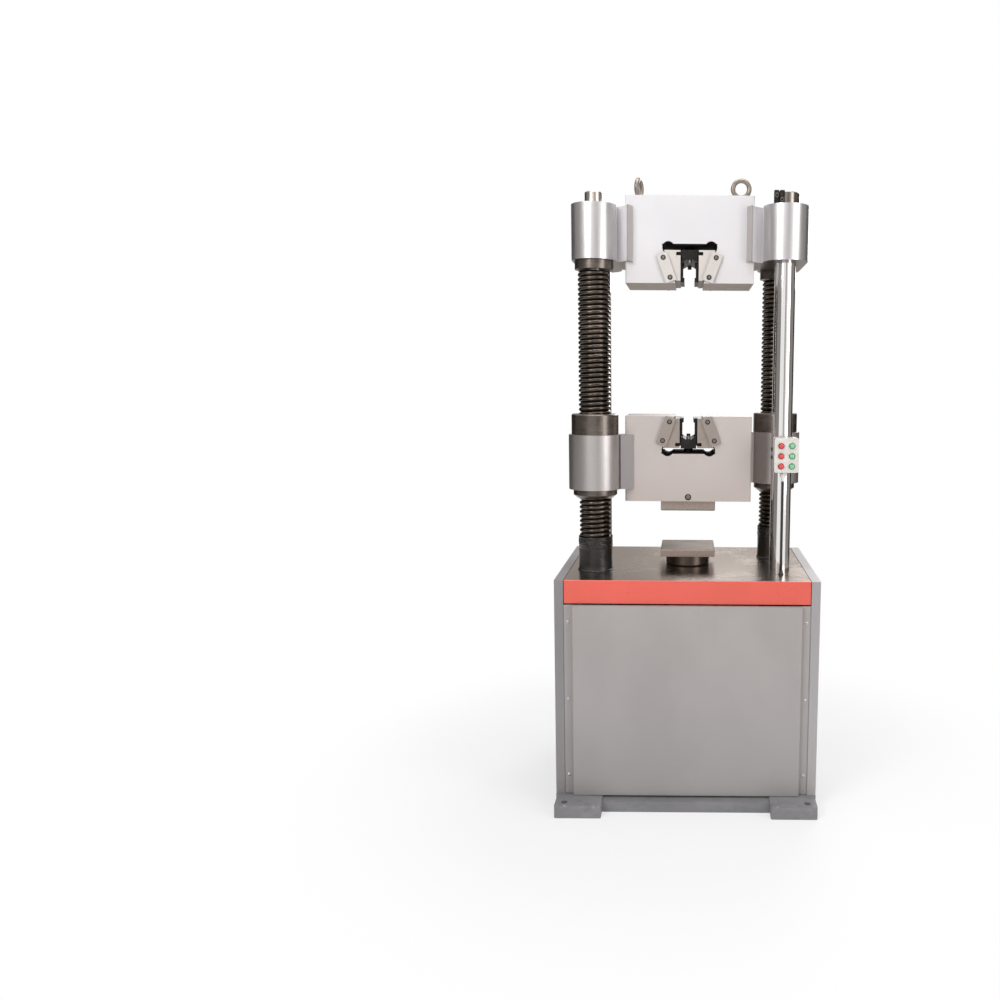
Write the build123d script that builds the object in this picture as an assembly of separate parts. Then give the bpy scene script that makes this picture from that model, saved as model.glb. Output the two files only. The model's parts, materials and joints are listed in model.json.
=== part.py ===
from build123d import *
import math
import os

# All sizes in millimetres. X points right, the front faces -Y, Z points up from the floor.

# Cabinet and base
cabinet_width = 880.0
cabinet_depth = 630.0
base_thick = 42.0
foot_width = 154.0
foot_inset = 5.0
foot_reach = 92.0
apron_reach = 45.0
apron_drop = 6.0
anchor_radius = 11.0
anchor_edge_x = 36.0
anchor_edge_y = 30.0
corner_round = 6.0

# Sheet covers
side_cover_thick = 30.0
sheet = 3.0
pan_margin = 59.0
front_pan_proud = 13.0
flange_recess = 3.0
cover_lift = 2.0
cover_top_gap = 5.0
vent_count = 8
vent_pitch = 22.0
vent_width = 220.0
vent_height = 8.0
vent_foot = 150.0

# Work table
table_top = 780.0
table_thick = 78.0
table_side_gap = 2.0
table_end_gap = 2.0
fascia_thick = 6.0
pocket_depth = 34.0
pocket_wall = 36.0
sleeve_height = 88.0
sleeve_wall = 3.0
sleeve_flange_reach = 7.0
sleeve_flange_thick = 5.0

# Uprights
upright_inset = 120.0
upright_y = 125.0
column_radius = 35.0
screw_radius = 55.0
thread_pitch = 16.0
thread_depth = 7.0
thread_crest = 5.0
thread_length = 1024.0
thread_top_gap = 4.0
screw_top_rise = 42.0
journal_radius = 30.0
screw_foot = 60.0
bearing_journal_radius = 45.0

# Clearances and broken edges
run_gap = 0.05
seat_gap = 0.3
pass_gap = 1.0
cut_over = 1.0
edge_break = 2.0
wide_break = 4.0
fine_break = 1.5

# Frame inside the cabinet
leg_thick = 20.0
leg_length = 500.0
leg_gap = 8.0
bridge_foot = 130.0
bridge_thick = 50.0
bridge_margin = 25.0
cylinder_radius = 150.0
cylinder_height = 380.0
cylinder_floor = 40.0
cylinder_bore_gap = 5.0
ram_radius = 120.0
ram_lift_off = 2.0
gland_reach = 10.0
gland_height = 30.0
bearing_wall = 30.0
bearing_height = 50.0
column_nut_radius = 58.0
column_nut_height = 46.0
column_tail = 14.0

# Chain drive
drive_x = 150.0
drive_y = -185.0
chain_pitch = 15.875
screw_teeth = 18
drive_teeth = 15
sprocket_foot = 85.0
sprocket_thick = 10.0
hub_height = 12.0
hub_share = 0.8
tooth_rise = 4.4
tooth_sink = 5.0
tooth_foot_share = 0.62
tooth_tip_share = 0.28
tooth_lap = 2.0
chain_gap = 0.6
chain_thick = 4.0
drive_shaft_radius = 15.0
drive_shaft_rise = 30.0
drive_bore_depth = 40.0
reducer_radius = 78.0
reducer_sides = 8
reducer_round = 8.0
reducer_height = 110.0
motor_radius = 62.0
motor_height = 190.0
motor_flange_inset = 8.0
motor_flange_thick = 12.0
fin_count = 20
fin_rise = 6.0
fin_thick = 4.0
fin_lap = 4.0
fin_short = 40.0

# Upper crosshead
tension_gap = 446.0
upper_height = 286.0
upper_neck = 29.0
crosshead_depth = 240.0
upper_boss_radius = 75.0
upper_boss_rise = 70.0
upper_boss_height = 180.0
bush_wall = 15.0
boss_ring_radius = 64.5
boss_ring_height = 30.0
column_top_rise = 40.0
column_cap_radius = 42.5
column_cap_height = 42.0

# Webs between the bosses and the crossheads, in plan
web_lap = 36.0
web_sink = 1.0
upper_web_start = -26.0
upper_ridge_in = 12.0
upper_ridge_out = 31.0
upper_root_in = 26.0
upper_root_out = 4.0
upper_web_hollow = 6.0
lower_web_start = 18.0
lower_ridge_in = -13.5
lower_ridge_out = 32.0
lower_root_in = 27.5
lower_root_out = 6.0

# Lower crosshead
lower_height = 294.0
lower_neck = 22.5
lower_boss_radius = 90.0
lower_boss_rise = 45.0
lower_boss_height = 186.0
screw_nut_radius = 80.0
screw_nut_height = 70.0
lower_ring_radius = 75.0
lower_ring_height = 20.0
lower_ring_tip_radius = 60.5
lower_ring_taper = 12.0

# Grips, with heights measured into the crosshead from its open edge
wedge_angle = 20.0
throat_half = 47.0
throat_depth = 129.0
relief_radius = 20.5
relief_x = 72.0
relief_z = 117.0
wedge_foot = 8.0
wedge_top = 109.0
wedge_gap = 0.3
jaw_face = 22.0
jaw_back = 30.5
jaw_top = 90.0
jaw_depth = 150.0
lip_face = 17.3
lip_height = 15.0
key_foot = 92.0
key_height = 10.0
key_reach = 41.0
key_room = 4.0
yoke_half = 19.0
yoke_foot = 80.0
yoke_tip = 70.0
yoke_notch = 10.0
yoke_depth = 200.0
yoke_top_room = 17.0
yoke_rod_radius = 16.0
cheek_half = 27.0
cheek_thick = 22.0
grip_bore_radius = 42.0
grip_floor = 20.0
lower_grip_cylinder_height = 96.0
grip_piston_thick = 20.0
grip_cylinder_wall = 8.0
grip_cylinder_cap = 10.0
grip_rod_reach = 30.0
guide_middle = 51.0
guide_length = 98.0
guide_width = 37.0
guide_thick = 8.0
guide_lap = 7.3
guide_hole_pitch = 68.6
guide_hole_radius = 5.5

# Platens
platen_gap = 137.0
upper_platen_side = 190.0
upper_platen_thick = 36.0
lower_platen_side = 190.0
lower_platen_thick = 26.0
lower_platen_depth = 200.0
seat_radius = 77.5
seat_height = 40.0
platen_edge = 3.0

# Eye bolts
eye_inset = 40.0
eye_ring_radius = 28.0
eye_bar_radius = 8.0
eye_ring_sink = 3.0
eye_collar_radius = 20.0
eye_collar_height = 12.0
eye_left_turn = 75.0

# Button box
box_shift = 7.0
box_rise = 352.0
box_width = 82.0
box_height = 116.0
box_depth = 55.0
box_wall = 3.0
box_round = 8.0
button_radius = 10.0
button_pitch_x = 36.0
button_pitch_z = 34.0
button_rise = 6.0
button_travel = 4.0
button_top_inset = 27.0
button_stem_radius = 6.0
button_stem_length = 14.0
saddle_width = 70.0
saddle_height = 40.0
saddle_wall = 14.0
saddle_wrap = 20.0
band_thick = 1.5
band_height = 12.0

# Lead from the button box to the table
gland_shift = 8.0
gland_nut_radius = 13.5
gland_nut_height = 8.0
gland_tip_radius = 9.0
gland_tip_taper = 2.0
gland_tip_length = 24.0
lead_radius = 3.5
grommet_radius = 9.0
grommet_neck_radius = 5.5
grommet_brim = 4.0
grommet_height = 16.0

# Rear fittings
port_inset = 200.0
port_z = 420.0
port_pitch = 70.0
port_radius = 18.0
port_reach = 24.0
port_tail = 40.0
port_bore_radius = 6.0
port_bore_depth = 20.0
port_flange_radius = 21.6
port_flange_thick = 8.0
socket_inset = 200.0
socket_z = 420.0
socket_radius = 22.0
socket_reach = 20.0
socket_tail = 30.0
socket_wall = 4.0
socket_depth = 10.0
socket_flange_side = 55.0
socket_flange_thick = 4.0
pin_count = 4
pin_radius = 2.0
pin_circle = 10.0
pin_sink = 2.0
pin_recess = 6.0

# Places worked out from the sizes above
base_half_x = cabinet_width / 2
base_half_y = cabinet_depth / 2
upright_x = base_half_x - upright_inset
pan_half = base_half_x - pan_margin
table_foot = table_top - table_thick
table_half_x = base_half_x - side_cover_thick - table_side_gap
table_half_y = base_half_y - table_end_gap
bridge_top = bridge_foot + bridge_thick
bridge_half_y = base_half_y - bridge_margin
bearing_top = bridge_top + bearing_height
bearing_radius = bearing_journal_radius + bearing_wall
flange_plane = base_half_y - flange_recess
cover_inner_x = base_half_x - side_cover_thick
cover_top = table_foot - cover_top_gap
leg_face = cover_inner_x - leg_gap
rear_face = base_half_y + front_pan_proud
cylinder_top = bridge_top + cylinder_height
slope = math.tan(math.radians(wedge_angle))
lean = math.cos(math.radians(wedge_angle))
front = crosshead_depth / 2
lower_foot = table_top + seat_height + lower_platen_thick + platen_gap + upper_platen_thick
lower_top = lower_foot + lower_height
lower_half = upright_x - screw_nut_radius - lower_neck
lower_boss_foot = lower_foot + lower_boss_rise
upper_foot = lower_top + tension_gap
upper_top = upper_foot + upper_height
upper_half = upright_x - upper_boss_radius - upper_neck
eye_x = upper_half - eye_inset
upper_boss_foot = upper_foot + upper_boss_rise
upper_boss_top = upper_boss_foot + upper_boss_height
thread_top = upper_boss_foot - boss_ring_height - thread_top_gap
screw_top = upper_boss_top + screw_top_rise
box_foot = table_top + box_rise
box_x = upright_x + box_shift
box_back_y = -(upright_y + column_radius + saddle_wall)
box_front_y = box_back_y - box_depth
port_x = base_half_x - port_inset
socket_x = socket_inset - base_half_x
screw_places = [(-upright_x, -upright_y), (upright_x, upright_y)]
column_places = [(-upright_x, upright_y), (upright_x, -upright_y)]


def block(x0, x1, y0, y1, z0, z1):
    """A box between two corners."""
    middle = Pos((x0 + x1) / 2, (y0 + y1) / 2, (z0 + z1) / 2)
    return middle * Box(x1 - x0, y1 - y0, z1 - z0)


def rod(x, y, z0, z1, radius):
    """An upright cylinder."""
    return Pos(x, y, (z0 + z1) / 2) * Cylinder(radius, z1 - z0)


def rod_y(x, z, y0, y1, radius):
    """A cylinder that lies along Y."""
    return Pos(x, (y0 + y1) / 2, z) * Rot(90, 0, 0) * Cylinder(radius, y1 - y0)


def tube(x, y, z0, z1, outer, inner):
    return rod(x, y, z0, z1, outer) - rod(x, y, z0, z1, inner)


def prism_y(points, y0, y1):
    """A solid with this outline in X and Z, from y0 to y1."""
    outline = make_face(Polyline(*[(x, 0, z) for x, z in points], close=True))
    solid = extrude(outline, y1 - y0, dir=(0, 1, 0))
    return Pos(0, y0, 0) * solid


def break_top(shape, size):
    """The same ring or disc with the outer edge of its top chamfered."""
    return chamfer(shape.edges().group_by(Axis.Z)[-1].sort_by(SortBy.RADIUS)[-1], size)


def both_sides(piece):
    return [piece, mirror(piece, Plane.YZ)]


def save(shape, name):
    solids = shape if isinstance(shape, list) else [shape]
    flat = [one for item in solids for one in item.solids()]
    export_step(Compound(children=flat) if len(flat) > 1 else flat[0], f"parts/{name}.step")


# Base and cabinet

def base_plate():
    slab = block(-base_half_x, base_half_x, -base_half_y, base_half_y, 0, base_thick)
    apron_y = base_half_y + apron_reach
    foot_out = base_half_x - foot_inset
    foot_end = base_half_y + foot_reach
    apron_half = foot_out - foot_width
    apron = block(-apron_half, apron_half, -apron_y, apron_y, 0, base_thick - apron_drop)
    plate = slab + apron
    for side in (-1, 1):
        middle_x = side * (foot_out - foot_width / 2)
        foot = Pos(middle_x, 0, base_thick / 2) * Box(foot_width, 2 * foot_end, base_thick)
        foot = fillet(foot.edges().filter_by(Axis.Z), corner_round)
        plate = plate + foot
    for side_x in (-1, 1):
        for side_y in (-1, 1):
            x = side_x * (base_half_x - anchor_edge_x)
            y = side_y * (foot_end - anchor_edge_y)
            plate = plate - rod(x, y, 0, base_thick, anchor_radius)
    return plate


def base_legs():
    leg = block(leg_face - leg_thick, leg_face, -leg_length / 2, leg_length / 2, base_thick, bridge_foot)
    return both_sides(leg)


def bridge_plate():
    plate = block(-leg_face, leg_face, -bridge_half_y, bridge_half_y, bridge_foot, bridge_top)
    for x, y in screw_places:
        plate = plate - rod(x, y, bridge_foot, bridge_top, journal_radius + 2 * seat_gap)
    return plate - rod(drive_x, drive_y, bridge_foot, bridge_top, drive_shaft_radius + 2 * seat_gap)


def side_cover():
    skin = block(cover_inner_x, base_half_x, -base_half_y, base_half_y, base_thick, table_top)
    skin = fillet(skin.edges().filter_by(Axis.Z).group_by(Axis.X)[-1], sheet)
    hollow = block(cover_inner_x + sheet, base_half_x - sheet, sheet - base_half_y, base_half_y - sheet,
                   base_thick, table_top - sheet)
    cover = skin - hollow
    lip_in = pan_half + sheet
    for side in (-1, 1):
        lip_y = sorted([side * (flange_plane - sheet), side * (flange_plane - 2 * sheet)])
        cover = cover + block(lip_in, cover_inner_x + sheet, lip_y[0], lip_y[1], base_thick, cover_top)
    return cover


def front_cover():
    """The raised pan with its two flanges, as seen at the front."""
    foot = base_thick + cover_lift
    back = sheet - flange_plane
    pan = block(-pan_half, pan_half, -rear_face, back, foot, cover_top)
    pan = fillet(pan.edges().filter_by(Axis.Z).group_by(Axis.Y)[0], corner_round)
    pan = pan - block(sheet - pan_half, pan_half - sheet, sheet - rear_face, back, foot + sheet,
                      cover_top - sheet)
    flange_out = cover_inner_x - seat_gap
    for side in (-1, 1):
        x = sorted([side * pan_half, side * flange_out])
        pan = pan + block(x[0], x[1], -flange_plane, back, foot, cover_top)
    return pan


def rear_cover():
    """The same pan at the rear, with vents and the holes for its fittings."""
    cover = mirror(front_cover(), Plane.XZ)
    for index in range(vent_count):
        z = base_thick + vent_foot + index * vent_pitch
        slot = SlotOverall(vent_width, vent_height)
        cut = extrude(slot, 2 * sheet, both=True)
        cover = cover - Pos(0, rear_face, z) * Rot(90, 0, 0) * cut
    for index in (-1, 1):
        x = port_x + index * port_pitch / 2
        cover = cover - rod_y(x, port_z, rear_face - 2 * sheet, rear_face + sheet, port_radius)
    return cover - rod_y(socket_x, socket_z, rear_face - 2 * sheet, rear_face + sheet, socket_radius)


def oil_ports():
    ports = []
    for index in (-1, 1):
        x = port_x + index * port_pitch / 2
        hexagon = extrude(RegularPolygon(port_flange_radius, 6), port_flange_thick)
        flange = Pos(x, rear_face, port_z) * Rot(-90, 0, 0) * hexagon
        end = rear_face + port_reach
        body = rod_y(x, port_z, rear_face - port_tail, end, port_radius - seat_gap)
        bore = rod_y(x, port_z, rear_face - port_bore_depth, end, port_bore_radius)
        ports.append(flange + body - bore)
    return ports


def power_socket():
    end = rear_face + socket_reach
    body = rod_y(socket_x, socket_z, rear_face - socket_tail, end, socket_radius - seat_gap)
    plate = Box(socket_flange_side, socket_flange_thick, socket_flange_side)
    flange = Pos(socket_x, rear_face + socket_flange_thick / 2, socket_z) * plate
    cup = rod_y(socket_x, socket_z, rear_face - socket_depth, end, socket_radius - socket_wall)
    pins = []
    for index in range(pin_count):
        angle = 2 * math.pi * (index + 0.5) / pin_count
        x = socket_x + pin_circle * math.cos(angle)
        z = socket_z + pin_circle * math.sin(angle)
        pins.append(rod_y(x, z, rear_face - socket_depth - pin_sink, end - pin_recess, pin_radius))
    return body + flange - cup + pins


# Lifting cylinder

def oil_cylinder():
    shell = rod(0, 0, bridge_top, cylinder_top, cylinder_radius)
    bore = rod(0, 0, bridge_top + cylinder_floor, cylinder_top, ram_radius + cylinder_bore_gap)
    return shell - bore


def gland_ring():
    outer = cylinder_radius + gland_reach
    ring = tube(0, 0, cylinder_top, cylinder_top + gland_height, outer, ram_radius + run_gap)
    return break_top(ring, wide_break)


def piston():
    ram = rod(0, 0, bridge_top + cylinder_floor + ram_lift_off, table_foot, ram_radius)
    return chamfer(ram.edges().group_by(Axis.Z)[0], wide_break)


# Chain drive

def pitch_radius(teeth):
    return chain_pitch / (2 * math.sin(math.pi / teeth))


def sprocket(x, y, teeth, bore):
    """A toothed wheel with a hub above it."""
    tip = pitch_radius(teeth) + tooth_rise
    root = pitch_radius(teeth) - tooth_sink
    foot = root - tooth_lap
    wheel = Circle(root)
    half = math.pi / teeth
    foot_turn = half * tooth_foot_share
    tip_turn = half * tooth_tip_share
    for index in range(teeth):
        angle = 2 * math.pi * index / teeth
        corners = [(foot, -foot_turn), (tip, -tip_turn), (tip, tip_turn), (foot, foot_turn)]
        tooth = [(r * math.cos(angle + a), r * math.sin(angle + a)) for r, a in corners]
        wheel = wheel + make_face(Polyline(*tooth, close=True))
    disc = extrude(wheel, sprocket_thick)
    hub = Pos(0, 0, sprocket_thick) * extrude(Circle(root * hub_share), hub_height)
    whole = Pos(x, y, sprocket_foot) * (disc + hub)
    if bore > 0:
        whole = whole - rod(x, y, sprocket_foot, sprocket_foot + sprocket_thick + hub_height, bore)
    return whole


def drive_sprocket():
    wheel = sprocket(drive_x, drive_y, drive_teeth, 0)
    return wheel + rod(drive_x, drive_y, sprocket_foot, bridge_top + drive_shaft_rise, drive_shaft_radius)


def belt_outline(extra):
    """The hull round the three toothed wheels."""
    with BuildSketch() as outline:
        for (x, y), teeth in zip(screw_places + [(drive_x, drive_y)], (screw_teeth, screw_teeth, drive_teeth)):
            with Locations((x, y)):
                Circle(pitch_radius(teeth) + tooth_rise + chain_gap + extra)
        make_hull()
    return outline.sketch


def drive_chain():
    band = belt_outline(chain_thick) - belt_outline(0)
    return Pos(0, 0, sprocket_foot) * extrude(band, sprocket_thick)


def lift_motor():
    """The gear motor: a reducer housing with the finned motor on its top."""
    foot = bridge_top + reducer_height
    housing = Pos(drive_x, drive_y, bridge_top) * extrude(RegularPolygon(reducer_radius, reducer_sides),
                                                          reducer_height)
    housing = fillet(housing.edges().filter_by(Axis.Z), reducer_round)
    housing = housing - rod(drive_x, drive_y, bridge_top, bridge_top + drive_bore_depth,
                            drive_shaft_radius + run_gap)
    motor = rod(drive_x, drive_y, foot, foot + motor_flange_thick, reducer_radius - motor_flange_inset)
    motor = motor + rod(drive_x, drive_y, foot, foot + motor_height, motor_radius - fin_rise)
    for index in range(fin_count):
        turn = Rot(0, 0, 360 / fin_count * index)
        blade = Box(fin_rise + fin_lap, fin_thick, motor_height - fin_short)
        fin = Pos(motor_radius - (fin_rise + fin_lap) / 2, 0, motor_height / 2) * blade
        motor = motor + Pos(drive_x, drive_y, foot) * turn * fin
    return housing + motor


def screw_bearings():
    housings = []
    for x, y in screw_places:
        ring = tube(x, y, bridge_top, bearing_top, bearing_radius, bearing_journal_radius + run_gap)
        housings.append(break_top(ring, wide_break))
    return housings


# Work table and what stands on it

def work_table():
    face = fascia_thick - table_half_y
    slab = block(-table_half_x, table_half_x, face, table_half_y, table_foot, table_top)
    for x, y in screw_places:
        slab = slab - rod(x, y, table_foot, table_top, screw_radius + pass_gap)
    for x, y in column_places:
        slab = slab - rod(x, y, table_foot, table_top, column_radius)
    pocket_x = ram_radius + pocket_wall
    pocket_out = upright_x - bearing_radius - pocket_wall / 2
    pocket_y = table_half_y - fascia_thick - pocket_wall
    for side_x in (-1, 1):
        for side_y in (-1, 1):
            x = sorted([side_x * pocket_x, side_x * pocket_out])
            y = sorted([side_y * pocket_wall / 2, side_y * pocket_y])
            slab = slab - block(x[0], x[1], y[0], y[1], table_foot, table_foot + pocket_depth)
    return slab


def table_fascia():
    plate = block(-table_half_x, table_half_x, -table_half_y, fascia_thick - table_half_y, table_foot, table_top)
    edge = plate.edges().filter_by(Axis.X).group_by(Axis.Y)[0].group_by(Axis.Z)[-1]
    return chamfer(edge, fine_break)


def screw_sleeves():
    sleeves = []
    bore = screw_radius + pass_gap
    outer = bore + sleeve_wall
    for x, y in screw_places:
        sleeve = tube(x, y, table_top, table_top + sleeve_height, outer, bore)
        flange = tube(x, y, table_top, table_top + sleeve_flange_thick, outer + sleeve_flange_reach, bore)
        sleeves.append(sleeve + flange)
    return sleeves


def column(x, y):
    foot = table_foot - column_nut_height - column_tail
    bar = rod(x, y, foot, upper_boss_top + column_top_rise, column_radius)
    return chamfer(bar.edges().filter_by(GeomType.CIRCLE), edge_break)


def column_nuts():
    """A hexagon nut under the table and a round nut on the upper crosshead for each column."""
    nuts = []
    for x, y in column_places:
        hexagon = RegularPolygon(column_nut_radius, 6) - Circle(column_radius)
        nuts.append(Pos(x, y, table_foot - column_nut_height) * extrude(hexagon, column_nut_height))
        cap = tube(x, y, upper_boss_top, upper_boss_top + column_cap_height, column_cap_radius, column_radius)
        nuts.append(break_top(cap, edge_break))
    return nuts


# Crossheads

def wall_x(z):
    """Half the throat's width at this distance from the crosshead's edge."""
    return throat_half + z * slope


def throat(edge_z, up):
    """The tapered opening that holds a pair of wedges, as seen from the front."""
    points = [(-wall_x(-cut_over), -cut_over), (wall_x(-cut_over), -cut_over),
              (wall_x(throat_depth), throat_depth), (-wall_x(throat_depth), throat_depth)]
    placed = [(x, edge_z + up * z) for x, z in points]
    half = front + cut_over
    opening = prism_y(placed, -half, half)
    for side in (-1, 1):
        opening = opening + rod_y(side * relief_x, edge_z + up * relief_z, -half, half, relief_radius)
    return opening


def web_face(half, radius, start, ridge_in, ridge_out, root_in, root_out, hollow):
    """Plan of a web in the +X +Y quarter: out of the boss, over a ridge and back into the crosshead."""
    start_y = upright_y + start
    start_x = upright_x - math.sqrt((radius - web_sink) ** 2 - start ** 2)
    ridge_x = half - ridge_in
    ridge_y = front + ridge_out
    root_x = half - root_in
    back = front - web_lap
    side = Polyline((ridge_x, ridge_y), (root_x, front + root_out), (root_x, back), (upright_x, back),
                    (upright_x, start_y), (start_x, start_y))
    if hollow == 0:
        face = Line((start_x, start_y), (ridge_x, ridge_y))
    else:
        length = math.hypot(ridge_x - start_x, ridge_y - start_y)
        middle_x = (start_x + ridge_x) / 2 - hollow * (ridge_y - start_y) / length
        middle_y = (start_y + ridge_y) / 2 - hollow * (start_x - ridge_x) / length
        face = ThreePointArc((start_x, start_y), (middle_x, middle_y), (ridge_x, ridge_y))
    return make_face([*side.edges(), *face.edges()])


def arm(place_x, place_y, radius, foot, height, plan):
    """A boss and the thick web that joins it to the crosshead."""
    web = Pos(0, 0, foot) * extrude(plan, height, dir=(0, 0, 1))
    if place_x < 0:
        web = mirror(web, Plane.YZ)
    if place_y < 0:
        web = mirror(web, Plane.XZ)
    return rod(place_x, place_y, foot, foot + height, radius) + web


def side_block(side):
    """The long block with round ends that holds a screw and a column."""
    length = 2 * (upright_y + upper_boss_radius)
    outline = SlotOverall(length, 2 * upper_boss_radius)
    bar = extrude(outline, upper_boss_height)
    return Pos(side * upright_x, 0, upper_boss_foot) * Rot(0, 0, 90) * bar


def grip_bore(edge_z, up, far_z):
    """The bore for the grip's small cylinder and the hole for its rod."""
    bore_start = edge_z + up * (throat_depth + grip_floor)
    span = sorted([bore_start, far_z])
    hole = sorted([edge_z + up * (throat_depth - cut_over), bore_start])
    return rod(0, 0, span[0], span[1], grip_bore_radius) + rod(0, 0, hole[0], hole[1], yoke_rod_radius + run_gap)


def upper_crosshead():
    body = block(-upper_half, upper_half, -front, front, upper_foot, upper_top)
    body = fillet(body.edges().filter_by(Axis.Z), corner_round)
    plan = web_face(upper_half, upper_boss_radius, upper_web_start, upper_ridge_in, upper_ridge_out,
                    upper_root_in, upper_root_out, upper_web_hollow)
    for x, y in screw_places + column_places:
        body = body + arm(x, y, upper_boss_radius, upper_boss_foot, upper_boss_height, plan)
    neck_half = upright_y + upper_web_start - web_sink
    for side in (-1, 1):
        body = body + side_block(side)
        x = sorted([side * (upper_half - cut_over), side * upright_x])
        body = body + block(x[0], x[1], -neck_half, neck_half, upper_boss_foot, upper_boss_top)
    for x, y in screw_places:
        body = body - rod(x, y, upper_boss_foot, upper_boss_top, journal_radius + bush_wall)
    for x, y in column_places:
        body = body - rod(x, y, upper_boss_foot, upper_boss_top, column_radius)
    return body - throat(upper_foot, 1) - grip_bore(upper_foot, 1, upper_top)


def guide_bushes():
    return [tube(x, y, upper_boss_foot, upper_boss_top, journal_radius + bush_wall, journal_radius + run_gap)
            for x, y in screw_places]


def boss_rings():
    return [tube(x, y, upper_boss_foot - boss_ring_height, upper_boss_foot, boss_ring_radius,
                 journal_radius + pass_gap) for x, y in screw_places]


def lower_crosshead():
    body = block(-lower_half, lower_half, -front, front, lower_foot, lower_top)
    body = fillet(body.edges().filter_by(Axis.Z), corner_round)
    plan = web_face(lower_half, lower_boss_radius, lower_web_start, lower_ridge_in, lower_ridge_out,
                    lower_root_in, lower_root_out, 0)
    for x, y in screw_places:
        body = body + arm(x, y, lower_boss_radius, lower_boss_foot, lower_boss_height, plan)
    for x, y in screw_places:
        body = body - rod(x, y, lower_boss_foot, lower_boss_foot + lower_boss_height, screw_radius + pass_gap)
    return body - throat(lower_top, -1) - grip_bore(lower_top, -1, lower_foot)


def screw_nuts():
    start = lower_boss_foot + lower_boss_height
    nuts = []
    for x, y in screw_places:
        nut = tube(x, y, start, start + screw_nut_height, screw_nut_radius, screw_radius + run_gap)
        nuts.append(break_top(nut, wide_break))
    return nuts


def lower_rings():
    rings = []
    foot = lower_boss_foot - lower_ring_height
    for x, y in screw_places:
        ring = rod(x, y, foot, lower_boss_foot, lower_ring_radius)
        cone = Cone(lower_ring_tip_radius, lower_ring_radius, lower_ring_taper)
        hole = rod(x, y, foot - lower_ring_taper, lower_boss_foot, screw_radius + pass_gap)
        rings.append(ring + Pos(x, y, foot - lower_ring_taper / 2) * cone - hole)
    return rings


# Grips

def wedge(edge_z, up, side):
    back = wedge_gap / lean
    outline = [(jaw_back, wedge_foot), (wall_x(wedge_foot) - back, wedge_foot),
               (wall_x(wedge_top) - back, wedge_top), (jaw_back, wedge_top)]
    placed = [(side * x, edge_z + up * z) for x, z in outline]
    half = front - wedge_gap
    body = prism_y(placed, -half, half)
    low = key_foot - wedge_gap
    high = key_foot + key_height + wedge_gap
    deep = key_reach + key_room
    groove = [(jaw_back - cut_over, low), (deep, low), (deep, high), (jaw_back - cut_over, high)]
    cut = [(side * x, edge_z + up * z) for x, z in groove]
    return body - prism_y(cut, -half - cut_over, half + cut_over)


def jaw(edge_z, up, side):
    """The insert that bites the bar, with a lip at the wedge's narrow end."""
    lip_top = wedge_foot + lip_height
    outline = [(lip_face, wedge_foot), (jaw_back, wedge_foot), (jaw_back, jaw_top), (jaw_face, jaw_top),
               (jaw_face, lip_top), (lip_face, lip_top)]
    placed = [(side * x, edge_z + up * z) for x, z in outline]
    return prism_y(placed, -jaw_depth / 2, jaw_depth / 2)


def yoke(edge_z, up):
    """The centre block with its cheeks and keys, and the rod and piston that pull it."""
    half = yoke_depth / 2
    top = throat_depth - yoke_top_room
    outline = [(-cheek_half, yoke_tip), (-yoke_notch, yoke_foot), (yoke_notch, yoke_foot),
               (cheek_half, yoke_tip), (cheek_half, top), (-cheek_half, top)]
    body = prism_y([(x, edge_z + up * z) for x, z in outline], -half, half)
    room_y = half - cheek_thick
    room_z = sorted([edge_z + up * (yoke_tip - cut_over), edge_z + up * key_foot])
    for side in (-1, 1):
        x = sorted([side * yoke_half, side * (cheek_half + cut_over)])
        body = body - block(x[0], x[1], -room_y, room_y, room_z[0], room_z[1])
    keys = sorted([edge_z + up * key_foot, edge_z + up * (key_foot + key_height)])
    body = body + block(-key_reach, key_reach, -half, half, keys[0], keys[1])
    rod_end = edge_z + up * (throat_depth + grip_floor + grip_rod_reach)
    stem = sorted([edge_z + up * top, rod_end])
    head = sorted([rod_end, rod_end + up * grip_piston_thick])
    head_radius = grip_bore_radius - grip_cylinder_wall - run_gap
    body = body + rod(0, 0, stem[0], stem[1], yoke_rod_radius)
    return body + rod(0, 0, head[0], head[1], head_radius)


def grip_cylinder(edge_z, up, height):
    """The small oil cylinder that moves the yoke."""
    start = edge_z + up * (throat_depth + grip_floor)
    end = start + up * height
    inside = end - up * grip_cylinder_cap
    outer = sorted([start, end])
    inner = sorted([start, inside])
    barrel = rod(0, 0, outer[0], outer[1], grip_bore_radius - run_gap)
    return barrel - rod(0, 0, inner[0], inner[1], grip_bore_radius - grip_cylinder_wall)


def guide_plates(edge_z, up):
    """Four keeper plates over the wedges, two at the front and two at the back."""
    plates = []
    middle_x = wall_x(guide_middle) + (guide_width / 2 - guide_lap) / lean
    for side_x in (-1, 1):
        for side_y in (-1, 1):
            plate = Box(guide_width, guide_thick, guide_length)
            plate = fillet(plate.edges().filter_by(Axis.Y), fine_break)
            for end in (-1, 1):
                z = end * guide_hole_pitch / 2
                plate = plate - rod_y(0, z, -guide_thick, guide_thick, guide_hole_radius)
            tilt = side_x * up * wedge_angle
            y = side_y * (front + guide_thick / 2)
            plates.append(Pos(side_x * middle_x, y, edge_z + up * guide_middle) * Rot(0, tilt, 0) * plate)
    return plates


# Platens and fittings

def upper_platen():
    half = upper_platen_side / 2
    plate = block(-half, half, -half, half, lower_foot - upper_platen_thick, lower_foot)
    return chamfer(plate.edges().group_by(Axis.Z)[0], platen_edge)


def platen_seat():
    seat = rod(0, 0, table_top, table_top + seat_height, seat_radius)
    return chamfer(seat.edges().filter_by(GeomType.CIRCLE).group_by(Axis.Z)[0], wide_break)


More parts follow.
